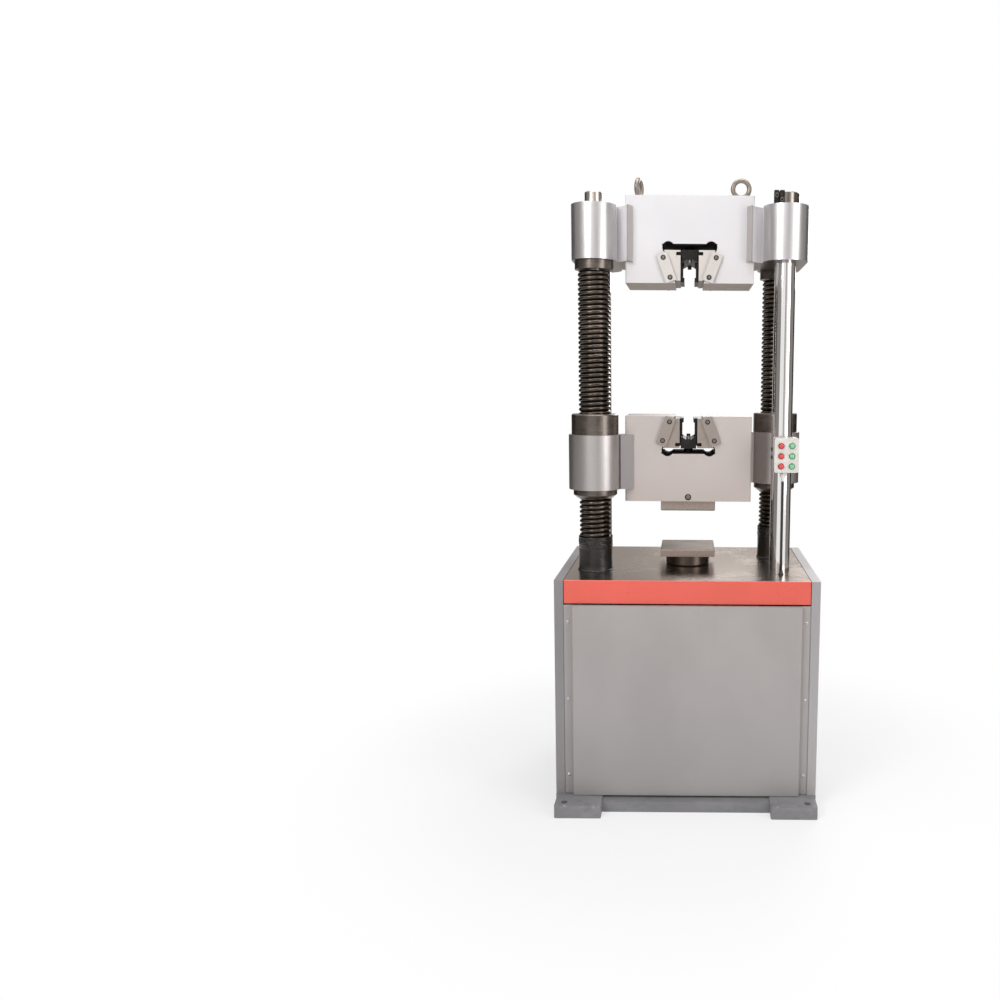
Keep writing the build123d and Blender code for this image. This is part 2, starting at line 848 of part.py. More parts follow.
def lower_platen():
    half_x = lower_platen_side / 2
    half_y = lower_platen_depth / 2
    foot = table_top + seat_height
    plate = block(-half_x, half_x, -half_y, half_y, foot, foot + lower_platen_thick)
    return chamfer(plate.edges().group_by(Axis.Z)[-1], platen_edge)


def eye_bolts():
    bolts = []
    centre_z = upper_top + eye_collar_height + eye_ring_radius + eye_bar_radius - eye_ring_sink
    for side, turn in ((-1, eye_left_turn), (1, 0)):
        collar = rod(0, 0, upper_top, upper_top + eye_collar_height, eye_collar_radius)
        collar = chamfer(collar.edges().group_by(Axis.Z)[-1], edge_break)
        ring = Pos(0, 0, centre_z) * Rot(90, 0, 0) * Torus(eye_ring_radius, eye_bar_radius)
        bolts.append(Pos(side * eye_x, 0, 0) * Rot(0, 0, turn) * (collar + ring))
    return bolts


def button_places():
    """Centres of the six buttons, by column and row."""
    places = {}
    for name_x, x in (("left", -button_pitch_x / 2), ("right", button_pitch_x / 2)):
        for row, name_z in enumerate(("top", "middle", "bottom")):
            z = box_foot + box_height - button_top_inset - row * button_pitch_z
            places[f"{name_x}_{name_z}"] = (box_x + x, z)
    return places


def button_box():
    half = box_width / 2
    top = box_foot + box_height
    shell = block(box_x - half, box_x + half, box_front_y, box_back_y, box_foot, top)
    shell = fillet(shell.edges().filter_by(Axis.Y), box_round)
    hollow = block(box_x - half + box_wall, box_x + half - box_wall, box_front_y + box_wall,
                   box_back_y - box_wall, box_foot + box_wall, top - box_wall)
    shell = shell - hollow
    for x, z in button_places().values():
        shell = shell - rod_y(x, z, box_front_y - cut_over, box_front_y + 2 * box_wall, button_radius + seat_gap)
    return shell


def button(place):
    x, z = place
    back = box_front_y + box_wall
    cap = rod_y(x, z, box_front_y - button_rise, back, button_radius)
    cap = chamfer(cap.edges().filter_by(GeomType.CIRCLE).group_by(Axis.Y)[0], fine_break)
    return cap + rod_y(x, z, back, back + button_stem_length, button_stem_radius)


def box_clamp():
    """The saddle behind the button box, with two thin bands round its column."""
    x, y = column_places[1]
    low = box_foot + (box_height - saddle_height) / 2
    high = low + saddle_height
    half = saddle_width / 2
    body = block(box_x - half, box_x + half, box_back_y, y - column_radius + saddle_wrap, low, high)
    for foot in (low, high - band_height):
        body = body + rod(x, y, foot, foot + band_height, column_radius + band_thick)
    return body - rod(x, y, low, high, column_radius)


def cable_gland():
    """The gland under the button box and the grommet in the table that its lead goes into."""
    x = box_x - gland_shift
    y = (box_front_y + box_back_y) / 2
    nut_foot = box_foot - gland_nut_height
    tip = Cone(gland_tip_radius - gland_tip_taper, gland_tip_radius, gland_tip_length)
    nut = Pos(x, y, nut_foot) * extrude(RegularPolygon(gland_nut_radius, 6), gland_nut_height)
    gland = nut + Pos(x, y, nut_foot - gland_tip_length / 2) * tip
    neck_height = grommet_height - grommet_brim
    neck = Cone(grommet_radius, grommet_neck_radius, neck_height)
    grommet = rod(x, y, table_top, table_top + grommet_brim, grommet_radius)
    grommet = grommet + Pos(x, y, table_top + grommet_brim + neck_height / 2) * neck
    return [gland, grommet]


def box_lead():
    """The lead that hangs straight from the gland to the grommet."""
    x = box_x - gland_shift
    y = (box_front_y + box_back_y) / 2
    top = box_foot - gland_nut_height - gland_tip_length
    return rod(x, y, table_top + grommet_height, top, lead_radius)


def lead_screw(x, y):
    """A screw with plain journals, and its thread drawn as rings at the same pitch."""
    shoulder = bridge_top + seat_gap
    thread_foot = bearing_top + seat_gap
    root_radius = screw_radius - thread_depth
    profile = [(0, screw_foot), (journal_radius, screw_foot), (journal_radius, shoulder),
               (bearing_journal_radius, shoulder), (bearing_journal_radius, thread_foot),
               (screw_radius, thread_foot)]
    rings = round(thread_length / thread_pitch)
    groove = thread_pitch - thread_crest
    z = thread_top - rings * thread_pitch
    profile.append((screw_radius, z))
    for _ in range(rings):
        profile.append((root_radius, z + groove / 2))
        profile.append((screw_radius, z + groove))
        z = z + thread_pitch
        profile.append((screw_radius, z))
    profile.append((journal_radius, thread_top))
    profile.append((journal_radius, screw_top - edge_break))
    profile.append((journal_radius - edge_break, screw_top))
    profile.append((0, screw_top))
    outline = make_face(Polyline(*[(r, 0, height) for r, height in profile], close=True))
    return Pos(x, y, 0) * revolve(outline, Axis.Z)


def build_all():
    save(base_plate(), "base_plate")
    save(base_legs(), "base_legs")
    save(bridge_plate(), "bridge_plate")
    save(mirror(side_cover(), Plane.YZ), "side_cover_left")
    save(side_cover(), "side_cover_right")
    save(front_cover(), "front_cover")
    save(rear_cover(), "rear_cover")
    save(oil_ports(), "oil_ports")
    save(power_socket(), "power_socket")
    save(oil_cylinder(), "oil_cylinder")
    save(gland_ring(), "gland_ring")
    save(screw_bearings(), "screw_bearings")
    save(drive_chain(), "drive_chain")
    save(lift_motor(), "lift_motor")
    save(piston(), "piston")
    save(work_table(), "work_table")
    save(table_fascia(), "table_fascia")
    save(screw_sleeves(), "screw_sleeves")
    save(column(*column_places[0]), "column_left")
    save(column(*column_places[1]), "column_right")
    save(column_nuts(), "column_nuts")
    save(upper_crosshead(), "upper_crosshead")
    save(guide_bushes(), "guide_bushes")
    save(boss_rings(), "boss_rings")
    save(eye_bolts(), "eye_bolts")
    save(lower_platen(), "lower_platen")
    save(platen_seat(), "platen_seat")
    save(button_box(), "button_box")
    save(box_clamp(), "box_clamp")
    save(cable_gland(), "cable_gland")
    save(box_lead(), "box_lead")
    for name, place in button_places().items():
        save(button(place), f"button_{name}")
    save(lower_crosshead(), "lower_crosshead")
    save(screw_nuts(), "screw_nuts")
    save(lower_rings(), "lower_rings")
    save(upper_platen(), "upper_platen")
    save(lead_screw(*screw_places[0]), "screw_left")
    save(lead_screw(*screw_places[1]), "screw_right")
    save(sprocket(*screw_places[0], screw_teeth, journal_radius), "sprocket_left")
    save(sprocket(*screw_places[1], screw_teeth, journal_radius), "sprocket_right")
    save(drive_sprocket(), "drive_sprocket")
    upper_grip_cylinder_height = upper_height - throat_depth - grip_floor
    for name, edge_z, up, height in (("upper", upper_foot, 1, upper_grip_cylinder_height),
                                     ("lower", lower_top, -1, lower_grip_cylinder_height)):
        save(guide_plates(edge_z, up), f"{name}_guide_plates")
        save(grip_cylinder(edge_z, up, height), f"{name}_grip_cylinder")
        save(yoke(edge_z, up), f"{name}_yoke")
        for side_name, side in (("left", -1), ("right", 1)):
            save(wedge(edge_z, up, side), f"{name}_wedge_{side_name}")
            save(jaw(edge_z, up, side), f"{name}_jaw_{side_name}")


os.makedirs("parts", exist_ok=True)
build_all()
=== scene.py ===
import json
import math

import bpy
from mathutils import Matrix, Vector


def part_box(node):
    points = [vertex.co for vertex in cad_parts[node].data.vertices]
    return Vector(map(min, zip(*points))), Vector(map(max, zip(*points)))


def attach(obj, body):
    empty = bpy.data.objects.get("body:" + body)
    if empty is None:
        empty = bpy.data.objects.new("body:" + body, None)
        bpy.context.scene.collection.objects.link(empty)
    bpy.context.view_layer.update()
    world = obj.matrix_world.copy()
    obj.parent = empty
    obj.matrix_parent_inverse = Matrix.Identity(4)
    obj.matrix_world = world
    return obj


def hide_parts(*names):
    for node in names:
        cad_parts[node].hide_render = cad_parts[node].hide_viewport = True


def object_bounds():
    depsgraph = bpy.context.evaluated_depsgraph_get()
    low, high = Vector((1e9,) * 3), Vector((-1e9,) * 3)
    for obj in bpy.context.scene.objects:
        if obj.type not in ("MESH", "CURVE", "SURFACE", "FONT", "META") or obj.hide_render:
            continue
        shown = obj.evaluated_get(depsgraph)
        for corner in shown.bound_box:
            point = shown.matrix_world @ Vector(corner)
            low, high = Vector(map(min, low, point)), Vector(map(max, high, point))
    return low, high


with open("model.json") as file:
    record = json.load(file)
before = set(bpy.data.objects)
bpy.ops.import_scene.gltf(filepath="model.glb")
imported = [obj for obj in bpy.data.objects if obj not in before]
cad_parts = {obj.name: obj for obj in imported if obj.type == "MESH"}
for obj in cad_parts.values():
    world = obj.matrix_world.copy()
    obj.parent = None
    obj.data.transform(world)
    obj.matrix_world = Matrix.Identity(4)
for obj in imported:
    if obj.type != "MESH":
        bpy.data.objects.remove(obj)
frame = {"nodes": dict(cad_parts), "record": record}

cadLow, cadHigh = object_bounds()
nodes = frame["nodes"]
mm = 0.001


# Shader maths: a wrapped socket takes the usual operators
class Sock:
    def __init__(self, finish, socket):
        self.finish = finish
        self.socket = socket

    def join(self, operation, first, second):
        return self.finish.node("ShaderNodeMath", {"operation": operation}, {0: first, 1: second})

    def __add__(self, other):
        return self.join("ADD", self, other)

    def __radd__(self, other):
        return self.join("ADD", other, self)

    def __sub__(self, other):
        return self.join("SUBTRACT", self, other)

    def __rsub__(self, other):
        return self.join("SUBTRACT", other, self)

    def __mul__(self, other):
        return self.join("MULTIPLY", self, other)

    def __rmul__(self, other):
        return self.join("MULTIPLY", other, self)

    def __pow__(self, other):
        return self.join("POWER", self, other)

    def __gt__(self, other):
        return self.join("GREATER_THAN", self, other)

    def size(self):
        return self.join("ABSOLUTE", self, 0.0)


class Finish:
    def __init__(self, name, roughness, metallic=0.0):
        self.material = bpy.data.materials.new(name)
        self.material.use_nodes = True
        self.tree = self.material.node_tree
        self.shader = self.tree.nodes["Principled BSDF"]
        self.set("Roughness", roughness)
        self.set("Metallic", metallic)
        self.place = self.node("ShaderNodeTexCoord", {}, {}, "Object")

    def node(self, kind, settings, inputs, output=0):
        made = self.tree.nodes.new(kind)
        for key, value in settings.items():
            setattr(made, key, value)
        for key, value in inputs.items():
            self.feed(made.inputs[key], value)
        return Sock(self, made.outputs[output])

    def feed(self, socket, value):
        if isinstance(value, Sock):
            self.tree.links.new(value.socket, socket)
        else:
            socket.default_value = value

    def set(self, name, value):
        self.feed(self.shader.inputs[name], value)

    # noise on the object's own place, stretched by three factors
    def noise(self, scale, stretch=(1, 1, 1), detail=3, rough=0.5):
        spread = self.node("ShaderNodeMapping", {}, {"Vector": self.place, "Scale": stretch})
        return self.node("ShaderNodeTexNoise", {},
                         {"Vector": spread, "Scale": scale, "Detail": detail, "Roughness": rough})

    def blend(self, factor, first, second):
        return self.node("ShaderNodeMix", {"data_type": "RGBA"}, {0: factor, 6: first, 7: second}, 2)

    def bump(self, height, strength, distance):
        self.set("Normal", self.node("ShaderNodeBump", {},
                                     {"Height": height, "Strength": strength, "Distance": distance}))

    def along(self, axis):
        return self.node("ShaderNodeSeparateXYZ", {}, {0: self.place}, axis)

    # how far the surface faces along an axis, -1 to 1
    def facing(self, axis):
        normal = self.node("ShaderNodeNewGeometry", {}, {}, "Normal")
        return self.node("ShaderNodeSeparateXYZ", {}, {0: normal}, axis)

    # 0 below low, 1 above high, smooth between
    def rise(self, value, low, high):
        return self.node("ShaderNodeMapRange", {"interpolation_type": "SMOOTHSTEP"},
                         {0: value, 1: low, 2: high, 3: 0.0, 4: 1.0})


def rgb(colour, factor=1.0):
    return (colour[0] * factor, colour[1] * factor, colour[2] * factor, 1)


# Painted steel: faint clouds in the tone, orange peel, a little dust and rubbed spots, and where a seam is
# given, painted shade low down and a painted shadow gap at the sides
def paint(name, colour, roughness=0.42, cloud=0.05, peel=0.10, dust=0.0, scuffs=0.3, coat=0.0, seam=0.0):
    f = Finish(name, roughness)
    clouds = f.noise(3.1, (1, 1, 0.7), 4)
    tone = f.blend(f.rise(clouds, 0.35, 0.65), rgb(colour, 1 - cloud), rgb(colour, 1 + cloud))
    if seam > 0:
        # painted shade: darker and bluer towards the floor, and a painted shadow gap in near black at the
        # panel's two sides
        low = 1 - f.rise(f.along(2), 0.0, 0.75)
        tone = f.blend(low * 0.42, tone, (colour[0] * 0.62, colour[1] * 0.65, colour[2] * 0.72, 1))
        tone = f.blend(f.rise(f.along(0).size(), seam, seam + 0.001) * 0.85, tone, (0.04, 0.036, 0.036, 1))
    scratch = f.noise(60, (1, 1, 0.06), 2)
    spots = f.noise(26, (1, 1, 1), 6, 0.75)
    worn = f.rise(spots, 0.66, 0.74) * scuffs + f.rise(scratch, 0.72, 0.80) * (scuffs * 0.5)
    tone = f.blend(worn, tone, rgb(colour, 0.72))
    if dust > 0:
        low = 1 - f.rise(f.along(2), 0.0, 0.35)
        settled = low * f.rise(f.noise(14, (1, 1, 2), 5, 0.6), 0.4, 0.7)
        tone = f.blend(settled * dust, tone, (0.33, 0.30, 0.27, 1))
    f.set("Base Color", tone)
    f.set("Roughness", roughness + (f.noise(9, (1, 1, 1), 4) - 0.5) * 0.18 + worn * 0.2)
    if coat > 0:
        f.set("Coat Weight", coat)
        f.set("Coat Roughness", 0.12)
    f.bump(f.noise(420, (1, 1, 1), 2) + worn * -0.4, peel, 0.0004)
    return f.material


# Machined or ground steel: fine lines along one axis
def steel(name, colour, roughness=0.28, lines=(1, 1, 40), fine=260, contrast=0.10, stain=0.12, strength=0.12,
          metallic=1.0):
    f = Finish(name, roughness, metallic)
    grain = f.noise(fine, lines, 3, 0.6)
    stains = f.noise(5.5, (1, 1, 1), 5, 0.6)
    tone = f.blend(f.rise(grain, 0.3, 0.7), rgb(colour, 1 - contrast), rgb(colour, 1 + contrast))
    tone = f.blend(f.rise(stains, 0.5, 0.72) * stain, tone, rgb(colour, 0.55))
    f.set("Base Color", tone)
    f.set("Roughness", roughness + (grain - 0.5) * 0.16 + f.rise(stains, 0.45, 0.75) * 0.12)
    f.bump(grain, strength, 0.00025)
    return f.material


# Blackened or oiled steel
def blackened(name, colour, roughness=0.36, metallic=0.8, strength=0.2, lines=(1, 1, 1), patchy=1.0):
    f = Finish(name, roughness, metallic)
    film = f.noise(22, lines, 5, 0.65)
    grain = f.noise(300, lines, 3)
    tone = f.blend(f.rise(film, 0.4, 0.7), rgb(colour, 1 - 0.3 * patchy), rgb(colour, 1 + 0.5 * patchy))
    tone = f.blend(f.rise(f.noise(48, (1, 1, 1), 4, 0.7), 0.64, 0.72) * 0.4, tone, (0.16, 0.12, 0.09, 1))
    f.set("Base Color", tone)
    f.set("Roughness", roughness + (film - 0.5) * 0.25)
    f.bump(grain, strength, 0.0003)
    return f.material


# Moulded plastic with a fine grain
def plastic(name, colour, roughness=0.38, grain=0.10, coat=0.0):
    f = Finish(name, roughness)
    speckle = f.rise(f.noise(30, (1, 1, 1), 4), 0.35, 0.7)
    f.set("Base Color", f.blend(speckle, rgb(colour, 0.95), rgb(colour, 1.04)))
    f.set("Roughness", roughness + (f.noise(70, (1, 1, 1), 3) - 0.5) * 0.15)
    if coat > 0:
        f.set("Coat Weight", coat)
        f.set("Coat Roughness", 0.08)
    f.bump(f.noise(900, (1, 1, 1), 2), grain, 0.00015)
    return f.material


# Crossheads: a painted body with painted shade on the throat walls and on faces turned down, and turned
# bosses that stay bare
upperHead = {
    "node": "upper_crosshead",
    "plates": "upper_guide_plates",
    "paint": (0.74, 0.72, 0.735),
    "boss": (0.60, 0.58, 0.585),
    "bossFrom": 245.5 * mm,
    "roughness": 0.38,
    # the web's darker stretch, from the middle
    "webTone": (0.42, 0.385, 0.375),
    "webFrom": 187 * mm,
    "webTo": 209 * mm,
    "throatUp": True,
    "undersideShade": (0.27, 0.215, 0.175),
}
lowerHead = {
    "node": "lower_crosshead",
    "plates": "lower_guide_plates",
    "paint": (0.535, 0.475, 0.448),
    "boss": (0.46, 0.43, 0.42),
    "bossFrom": 232.5 * mm,
    "roughness": 0.44,
    "webTone": (0.285, 0.26, 0.258),
    "webFrom": 150 * mm,
    "webTo": 232.5 * mm,
    "throatUp": False,
    "undersideShade": (0.26, 0.215, 0.185),
}
# where the throat is painted in shade: its half width, depth and near-black colour, and how far the guide
# plates stand proud
throatLook = {
    "half": 93 * mm,
    "depth": 141 * mm,
    "plateProud": 8 * mm,
    "colour": (0.030, 0.023, 0.018),
}


def crosshead(name, h):
    f = Finish(name, h["roughness"])
    colour, bossColour = h["paint"], h["boss"]
    across = f.along(0).size()
    deep = f.along(1).size()
    height = f.along(2)
    low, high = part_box(h["node"])
    front = -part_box(h["plates"])[0].y - throatLook["plateProud"]
    bare = f.rise(across, h["bossFrom"] - 0.0005, h["bossFrom"] + 0.0005)
    clouds = f.noise(3.1, (1, 1, 0.7), 4)
    tone = f.blend(f.rise(clouds, 0.35, 0.65), rgb(colour, 0.97), rgb(colour, 1.03))
    # the lower edge of the paint is a little duller and warmer
    dull = (1 - f.rise(height, low.z, low.z + 160 * mm)) * 0.22
    tone = f.blend(dull, tone, (colour[0] * 0.78, colour[1] * 0.7, colour[2] * 0.64, 1))
    scratch = f.rise(f.noise(52, (1, 1, 0.08), 3, 0.6), 0.70, 0.78)
    tone = f.blend(scratch * 0.12, tone, rgb(colour, 0.7))
    proud = f.rise(deep, front + 0.0003, front + 0.0012)
    web = (proud * f.rise(across, h["webFrom"] - 0.001, h["webFrom"])
           * (1 - f.rise(across, h["webTo"], h["webTo"] + 0.001)))
    tone = f.blend(web, tone, rgb(h["webTone"]))
    # painted shade: faces turned down take a dark brown tone
    shadedBelow = f.rise(f.facing(2) * -1, 0.6, 0.9)
    tone = f.blend(shadedBelow, tone, rgb(h["undersideShade"]))
    # painted shade: the throat's walls in near black, as the recess lies in shade
    depth = throatLook["depth"]
    start, end = (low.z + 0.001, low.z + depth) if h["throatUp"] else (high.z - depth, high.z - 0.001)
    throatShade = ((1 - f.rise(deep, front - 0.0015, front - 0.0005))
              * (1 - f.rise(across, throatLook["half"] - 0.001, throatLook["half"]))
              * f.rise(height, start, start + 0.001) * (1 - f.rise(height, end, end + 0.001)))
    tone = f.blend(throatShade, tone, rgb(throatLook["colour"]))
    turned = f.noise(130, (1, 1, 14), 3, 0.6)
    stains = f.rise(f.noise(7, (1, 1, 1), 5, 0.6), 0.50, 0.72)
    metal = f.blend(f.rise(turned, 0.3, 0.7), rgb(bossColour, 0.92), rgb(bossColour, 1.08))
    metal = f.blend(stains * 0.16, metal, rgb(bossColour, 0.55))
    # the bosses' faces turned down take the same painted shade
    metal = f.blend(shadedBelow * 0.8, metal, rgb(h["undersideShade"], 0.7))
    f.set("Base Color", f.blend(bare, tone, metal))
    f.set("Metallic", bare * 0.92)
    f.set("Roughness", h["roughness"] - bare * 0.06 + (turned - 0.5) * 0.10 + stains * 0.06 + throatShade * 0.4)
    f.bump(turned * bare * 0.6 + f.noise(420, (1, 1, 1), 2) * (1 - bare) * 0.5, 0.12, 0.0003)
    return f.material


# Ground steel whose upward faces are darker in painted shade, mottled by stains
def shadedTopSteel(name, colour, topShadeColour, roughness=0.34):
    f = Finish(name, roughness, 1.0)
    grain = f.noise(110, (1, 18, 1), 3, 0.6)
    level = f.rise(f.facing(2), 0.6, 0.95)
    stains = f.rise(f.noise(9, (1, 1, 1), 5, 0.62), 0.40, 0.68)
    side = f.blend(f.rise(grain, 0.3, 0.7), rgb(colour, 0.92), rgb(colour, 1.08))
    top = f.blend(stains, rgb(topShadeColour, 1.12), rgb(topShadeColour, 0.80))
    # painted shade: faces turned up take the darker top colour
    f.set("Base Color", f.blend(level, side, top))
    f.set("Roughness", roughness + (grain - 0.5) * 0.14 + stains * 0.08)
    f.bump(grain, 0.14, 0.00025)
    return f.material


# Guide plates: pale ground faces, their edges and bevels in painted shade as a dark outline
def guidePlate(name, colour, edgeShadeColour, roughness, metallic):
    f = Finish(name, roughness, metallic)
    grain = f.noise(150, (1, 1, 12), 3, 0.6)
    stains = f.rise(f.noise(21, (1, 1, 1), 5, 0.65), 0.50, 0.72)
    edge = 1 - f.rise(f.facing(1).size(), 0.80, 0.97)
    tone = f.blend(f.rise(grain, 0.3, 0.7), rgb(colour, 0.94), rgb(colour, 1.05))
    tone = f.blend(stains * 0.18, tone, rgb(colour, 0.6))
    # painted shade: faces that turn away from the front and back go dark
    f.set("Base Color", f.blend(edge * 0.85, tone, rgb(edgeShadeColour)))
    f.set("Roughness", roughness + (grain - 0.5) * 0.12 + stains * 0.08)
    f.bump(grain, 0.12, 0.0002)
    return f.material


# Black stretch film: creased all over, more so above the sleeve
filmLook = {
    "tightTo": 855 * mm,
    "looseFrom": 875 * mm,
    "crease": 4 * mm,
}


def wrapFilm(name, colour):
    f = Finish(name, 0.24)
    folds = f.noise(34, (1, 1, 1.7), 4, 0.62)
    fine = f.noise(120, (1, 1, 0.5), 3, 0.6)
    above = f.rise(f.along(2), filmLook["tightTo"], filmLook["looseFrom"])
    dusty = f.rise(f.noise(16, (1, 1, 1), 5, 0.6), 0.5, 0.7)
    f.set("Base Color", f.blend(dusty * 0.5, rgb(colour), rgb(colour, 2.6)))
    f.set("Roughness", 0.30 - above * 0.12 + dusty * 0.2)
    f.bump(folds * (0.35 + above * 1.3) + fine * 0.3, 0.8, filmLook["crease"])
    return f.material


# The base has chipped paint along the top of its feet
chipLook = {
    "band": 12 * mm,
    "edge": 1 * mm,
    "from": 375 * mm,
    "to": 405 * mm,
}


def chippedBase(name, colour, chipColour):
    f = Finish(name, 0.48)
    tone = f.blend(f.rise(f.noise(4, (1, 1, 1), 5), 0.35, 0.68), rgb(colour, 0.86), rgb(colour, 1.12))
    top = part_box("base_plate")[1].z
    # small chips where the foot's top meets its front
    c = chipLook
    upper = f.rise(f.along(2), top - c["band"], top - c["edge"])
    edge = upper * f.rise(f.along(1).size(), c["from"], c["to"])
    chips = f.rise(f.noise(85, (1, 1, 1), 7, 0.75), 0.57, 0.63) * f.rise(edge, 0.1, 0.8)
    dirt = f.rise(f.noise(17, (1, 1, 1.6), 6, 0.68), 0.46, 0.72)
    tone = f.blend(dirt * 0.45, tone, rgb(colour, 0.62))
    f.set("Base Color", f.blend(chips, tone, rgb(chipColour)))
    f.set("Roughness", 0.46 + dirt * 0.18 - chips * 0.1)
    f.bump(chips * -0.8 + f.noise(260, (1, 1, 1), 3) * 0.5, 0.3, 0.0006)
    return f.material


finishes = {
    # the cover takes painted shade towards the floor and a painted shadow gap at its sides
    "cover_grey": paint("coverPaint", (0.400, 0.370, 0.358), 0.40, dust=0.15, seam=409 * mm),
    "side_grey": paint("sidePaint", (0.375, 0.355, 0.360), 0.42, dust=0.25),
    # the side paint darkened as painted shade, for the left side cover
    "sideShade": paint("sideLeftPaintedShade", (0.255, 0.240, 0.243), 0.42, dust=0.2),
    "fascia_red": paint("fasciaPaint", (0.80, 0.115, 0.080), 0.30, cloud=0.04, scuffs=0.0, coat=0.3),
    "table_steel": steel("tableSteel", (0.31, 0.262, 0.228), 0.24, (1, 26, 1), 90, 0.12, 0.45, 0.10),
    "base_grey": chippedBase("basePaint", (0.235, 0.230, 0.238), (0.47, 0.45, 0.44)),
    "crosshead_silver": crosshead("upperHeadPaint", upperHead),
    "crosshead_grey": crosshead("lowerHeadPaint", lowerHead),
    "chrome_bar": steel("polishedColumn", (0.80, 0.785, 0.775), 0.08, (1, 1, 0.02), 120, 0.03, 0.03, 0.02),
    "journal": steel("journalSteel", (0.60, 0.555, 0.51), 0.20, (1, 1, 16), 150, 0.08, 0.20, 0.12),
    "capSteel": steel("capSteel", (0.25, 0.222, 0.200), 0.18, (1, 1, 16), 150, 0.10, 0.25, 0.12),
    "platen": shadedTopSteel("platenSteel", (0.36, 0.29, 0.258), (0.085, 0.062, 0.049), 0.42),
    "seatSteel": shadedTopSteel("seatSteel", (0.115, 0.092, 0.078), (0.10, 0.08, 0.065), 0.30),
    "plateLight": guidePlate("lightGuideSteel", (0.66, 0.61, 0.575), (0.10, 0.085, 0.075), 0.42, 0.55),
    "plateBrown": guidePlate("brownGuideSteel", (0.36, 0.305, 0.270), (0.07, 0.058, 0.05), 0.40, 0.7),
    "screw_steel": blackened("screwSteel", (0.100, 0.082, 0.068), 0.22, 0.95, 0.12),
    "nut_black": blackened("blackSteel", (0.150, 0.126, 0.110), 0.30, 0.9, 0.12, (1, 1, 3), 0.3),
    "eyeSteel": blackened("eyeSteel", (0.25, 0.212, 0.180), 0.34, 0.7, 0.1, patchy=0.3),
    "boltSteel": blackened("boltSteel", (0.22, 0.205, 0.195), 0.36, 0.9, 0.1, patchy=0.3),
    "boot": wrapFilm("bootFilm", (0.014, 0.0115, 0.0098)),
    "rimRed": plastic("redRim", (0.33, 0.03, 0.03), 0.30, 0.02, 0.3),
    "rimGreen": plastic("greenRim", (0.07, 0.27, 0.13), 0.30, 0.02, 0.3),
    "lead_black": plastic("leadSheath", (0.022, 0.021, 0.021), 0.40, 0.05),
    "jaw_black": blackened("jawSteel", (0.022, 0.020, 0.018), 0.42, 0.6, 0.3),
    "wedge_steel": steel("machinedSteel", (0.56, 0.53, 0.50), 0.34, (1, 1, 12), 160, 0.07, 0.15, 0.15),
    "bronze": steel("bronze", (0.52, 0.33, 0.15), 0.35, (1, 1, 8), 120),
    "inner_iron": blackened("castIron", (0.13, 0.13, 0.135), 0.55, 0.5, 0.5),
    "box_ivory": plastic("boxPlastic", (0.74, 0.70, 0.66), 0.36),
    "button_red": plastic("redLens", (0.72, 0.06, 0.05), 0.18, 0.02, 0.6),
    "button_green": plastic("greenLens", (0.22, 0.60, 0.30), 0.18, 0.02, 0.6),
    "gland_white": plastic("glandPlastic", (0.80, 0.79, 0.76), 0.35),
}
print("finishes made:", len(finishes))


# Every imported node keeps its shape, gets its finish and a softened edge
nodeEdges = {
    # in mm
    "width": 0.8,
    "wide": {"upper_crosshead": 2.0, "lower_crosshead": 2.0, "front_cover": 1.2, "rear_cover": 1.2,
             "base_plate": 2.2, "work_table": 0.8, "lower_platen": 0.7, "upper_platen": 0.7,
             "side_cover_left": 1.4, "side_cover_right": 1.4, "button_box": 1.2},
    "plain": ["drive_chain", "sprocket_left", "sprocket_right", "drive_sprocket", "lift_motor",
              "guide_bushes", "upper_grip_cylinder", "lower_grip_cylinder", "oil_cylinder"],
    # nodes whose steel looks unlike the rest of their slot, and the left side cover in painted shade
    "finish": {"side_cover_left": "sideShade", "eye_bolts": "eyeSteel", "column_nuts": "capSteel",
               "upper_platen": "platen", "lower_platen": "platen", "platen_seat": "seatSteel",
               "upper_guide_plates": "plateLight",
               "upper_wedge_left": "plateLight", "upper_wedge_right": "plateLight",
               "lower_guide_plates": "plateBrown", "lower_wedge_left": "plateBrown",
               "lower_wedge_right": "plateBrown"},
}


def dressNode(name, slotName):
    node = nodes[name]
    node.data.materials.clear()
    node.data.materials.append(finishes[nodeEdges["finish"].get(name, slotName)])
    weld = node.modifiers.new("weld", "WELD")
    weld.merge_threshold = 0.00001
    if name not in nodeEdges["plain"]:
        bevel = node.modifiers.new("softEdge", "BEVEL")
        bevel.width = nodeEdges["wide"].get(name, nodeEdges["width"]) * mm
        bevel.segments = 2
        bevel.limit_method = "ANGLE"
        bevel.angle_limit = math.radians(40)
        bevel.use_clamp_overlap = True
    for polygon in node.data.polygons:
        polygon.use_smooth = True
    node.modifiers.new("flatFaces", "WEIGHTED_NORMAL").keep_sharp = True


for part in frame["record"]["subparts"]:
    dressNode(part["node"], part["material_slot"])
print("packed nodes dressed:", len(nodes))


# Modelling helpers: every call starts with nothing selected
def deselect():
    bpy.ops.object.select_all(action="DESELECT")


def only(piece):
    deselect()
    piece.select_set(True)
    bpy.context.view_layer.objects.active = piece


def settle(piece, name):
    # the place goes into the mesh, and the object stays at the origin
    only(piece)
    bpy.ops.object.transform_apply(location=True, rotation=True, scale=True)
    piece.name = name
    piece.data.name = name
    return piece


def addModifier(piece, kind, **settings):
    only(piece)
    made = piece.modifiers.new(kind.lower(), kind)
    for key, value in settings.items():
        setattr(made, key, value)
    bpy.ops.object.modifier_apply(modifier=made.name)


def soften(piece, width, segments=2, angle=30):
    addModifier(piece, "BEVEL", width=width, segments=segments, limit_method="ANGLE",
                angle_limit=math.radians(angle))


def smooth(piece, angle=35):
    only(piece)
    bpy.ops.object.shade_smooth_by_angle(angle=math.radians(angle))


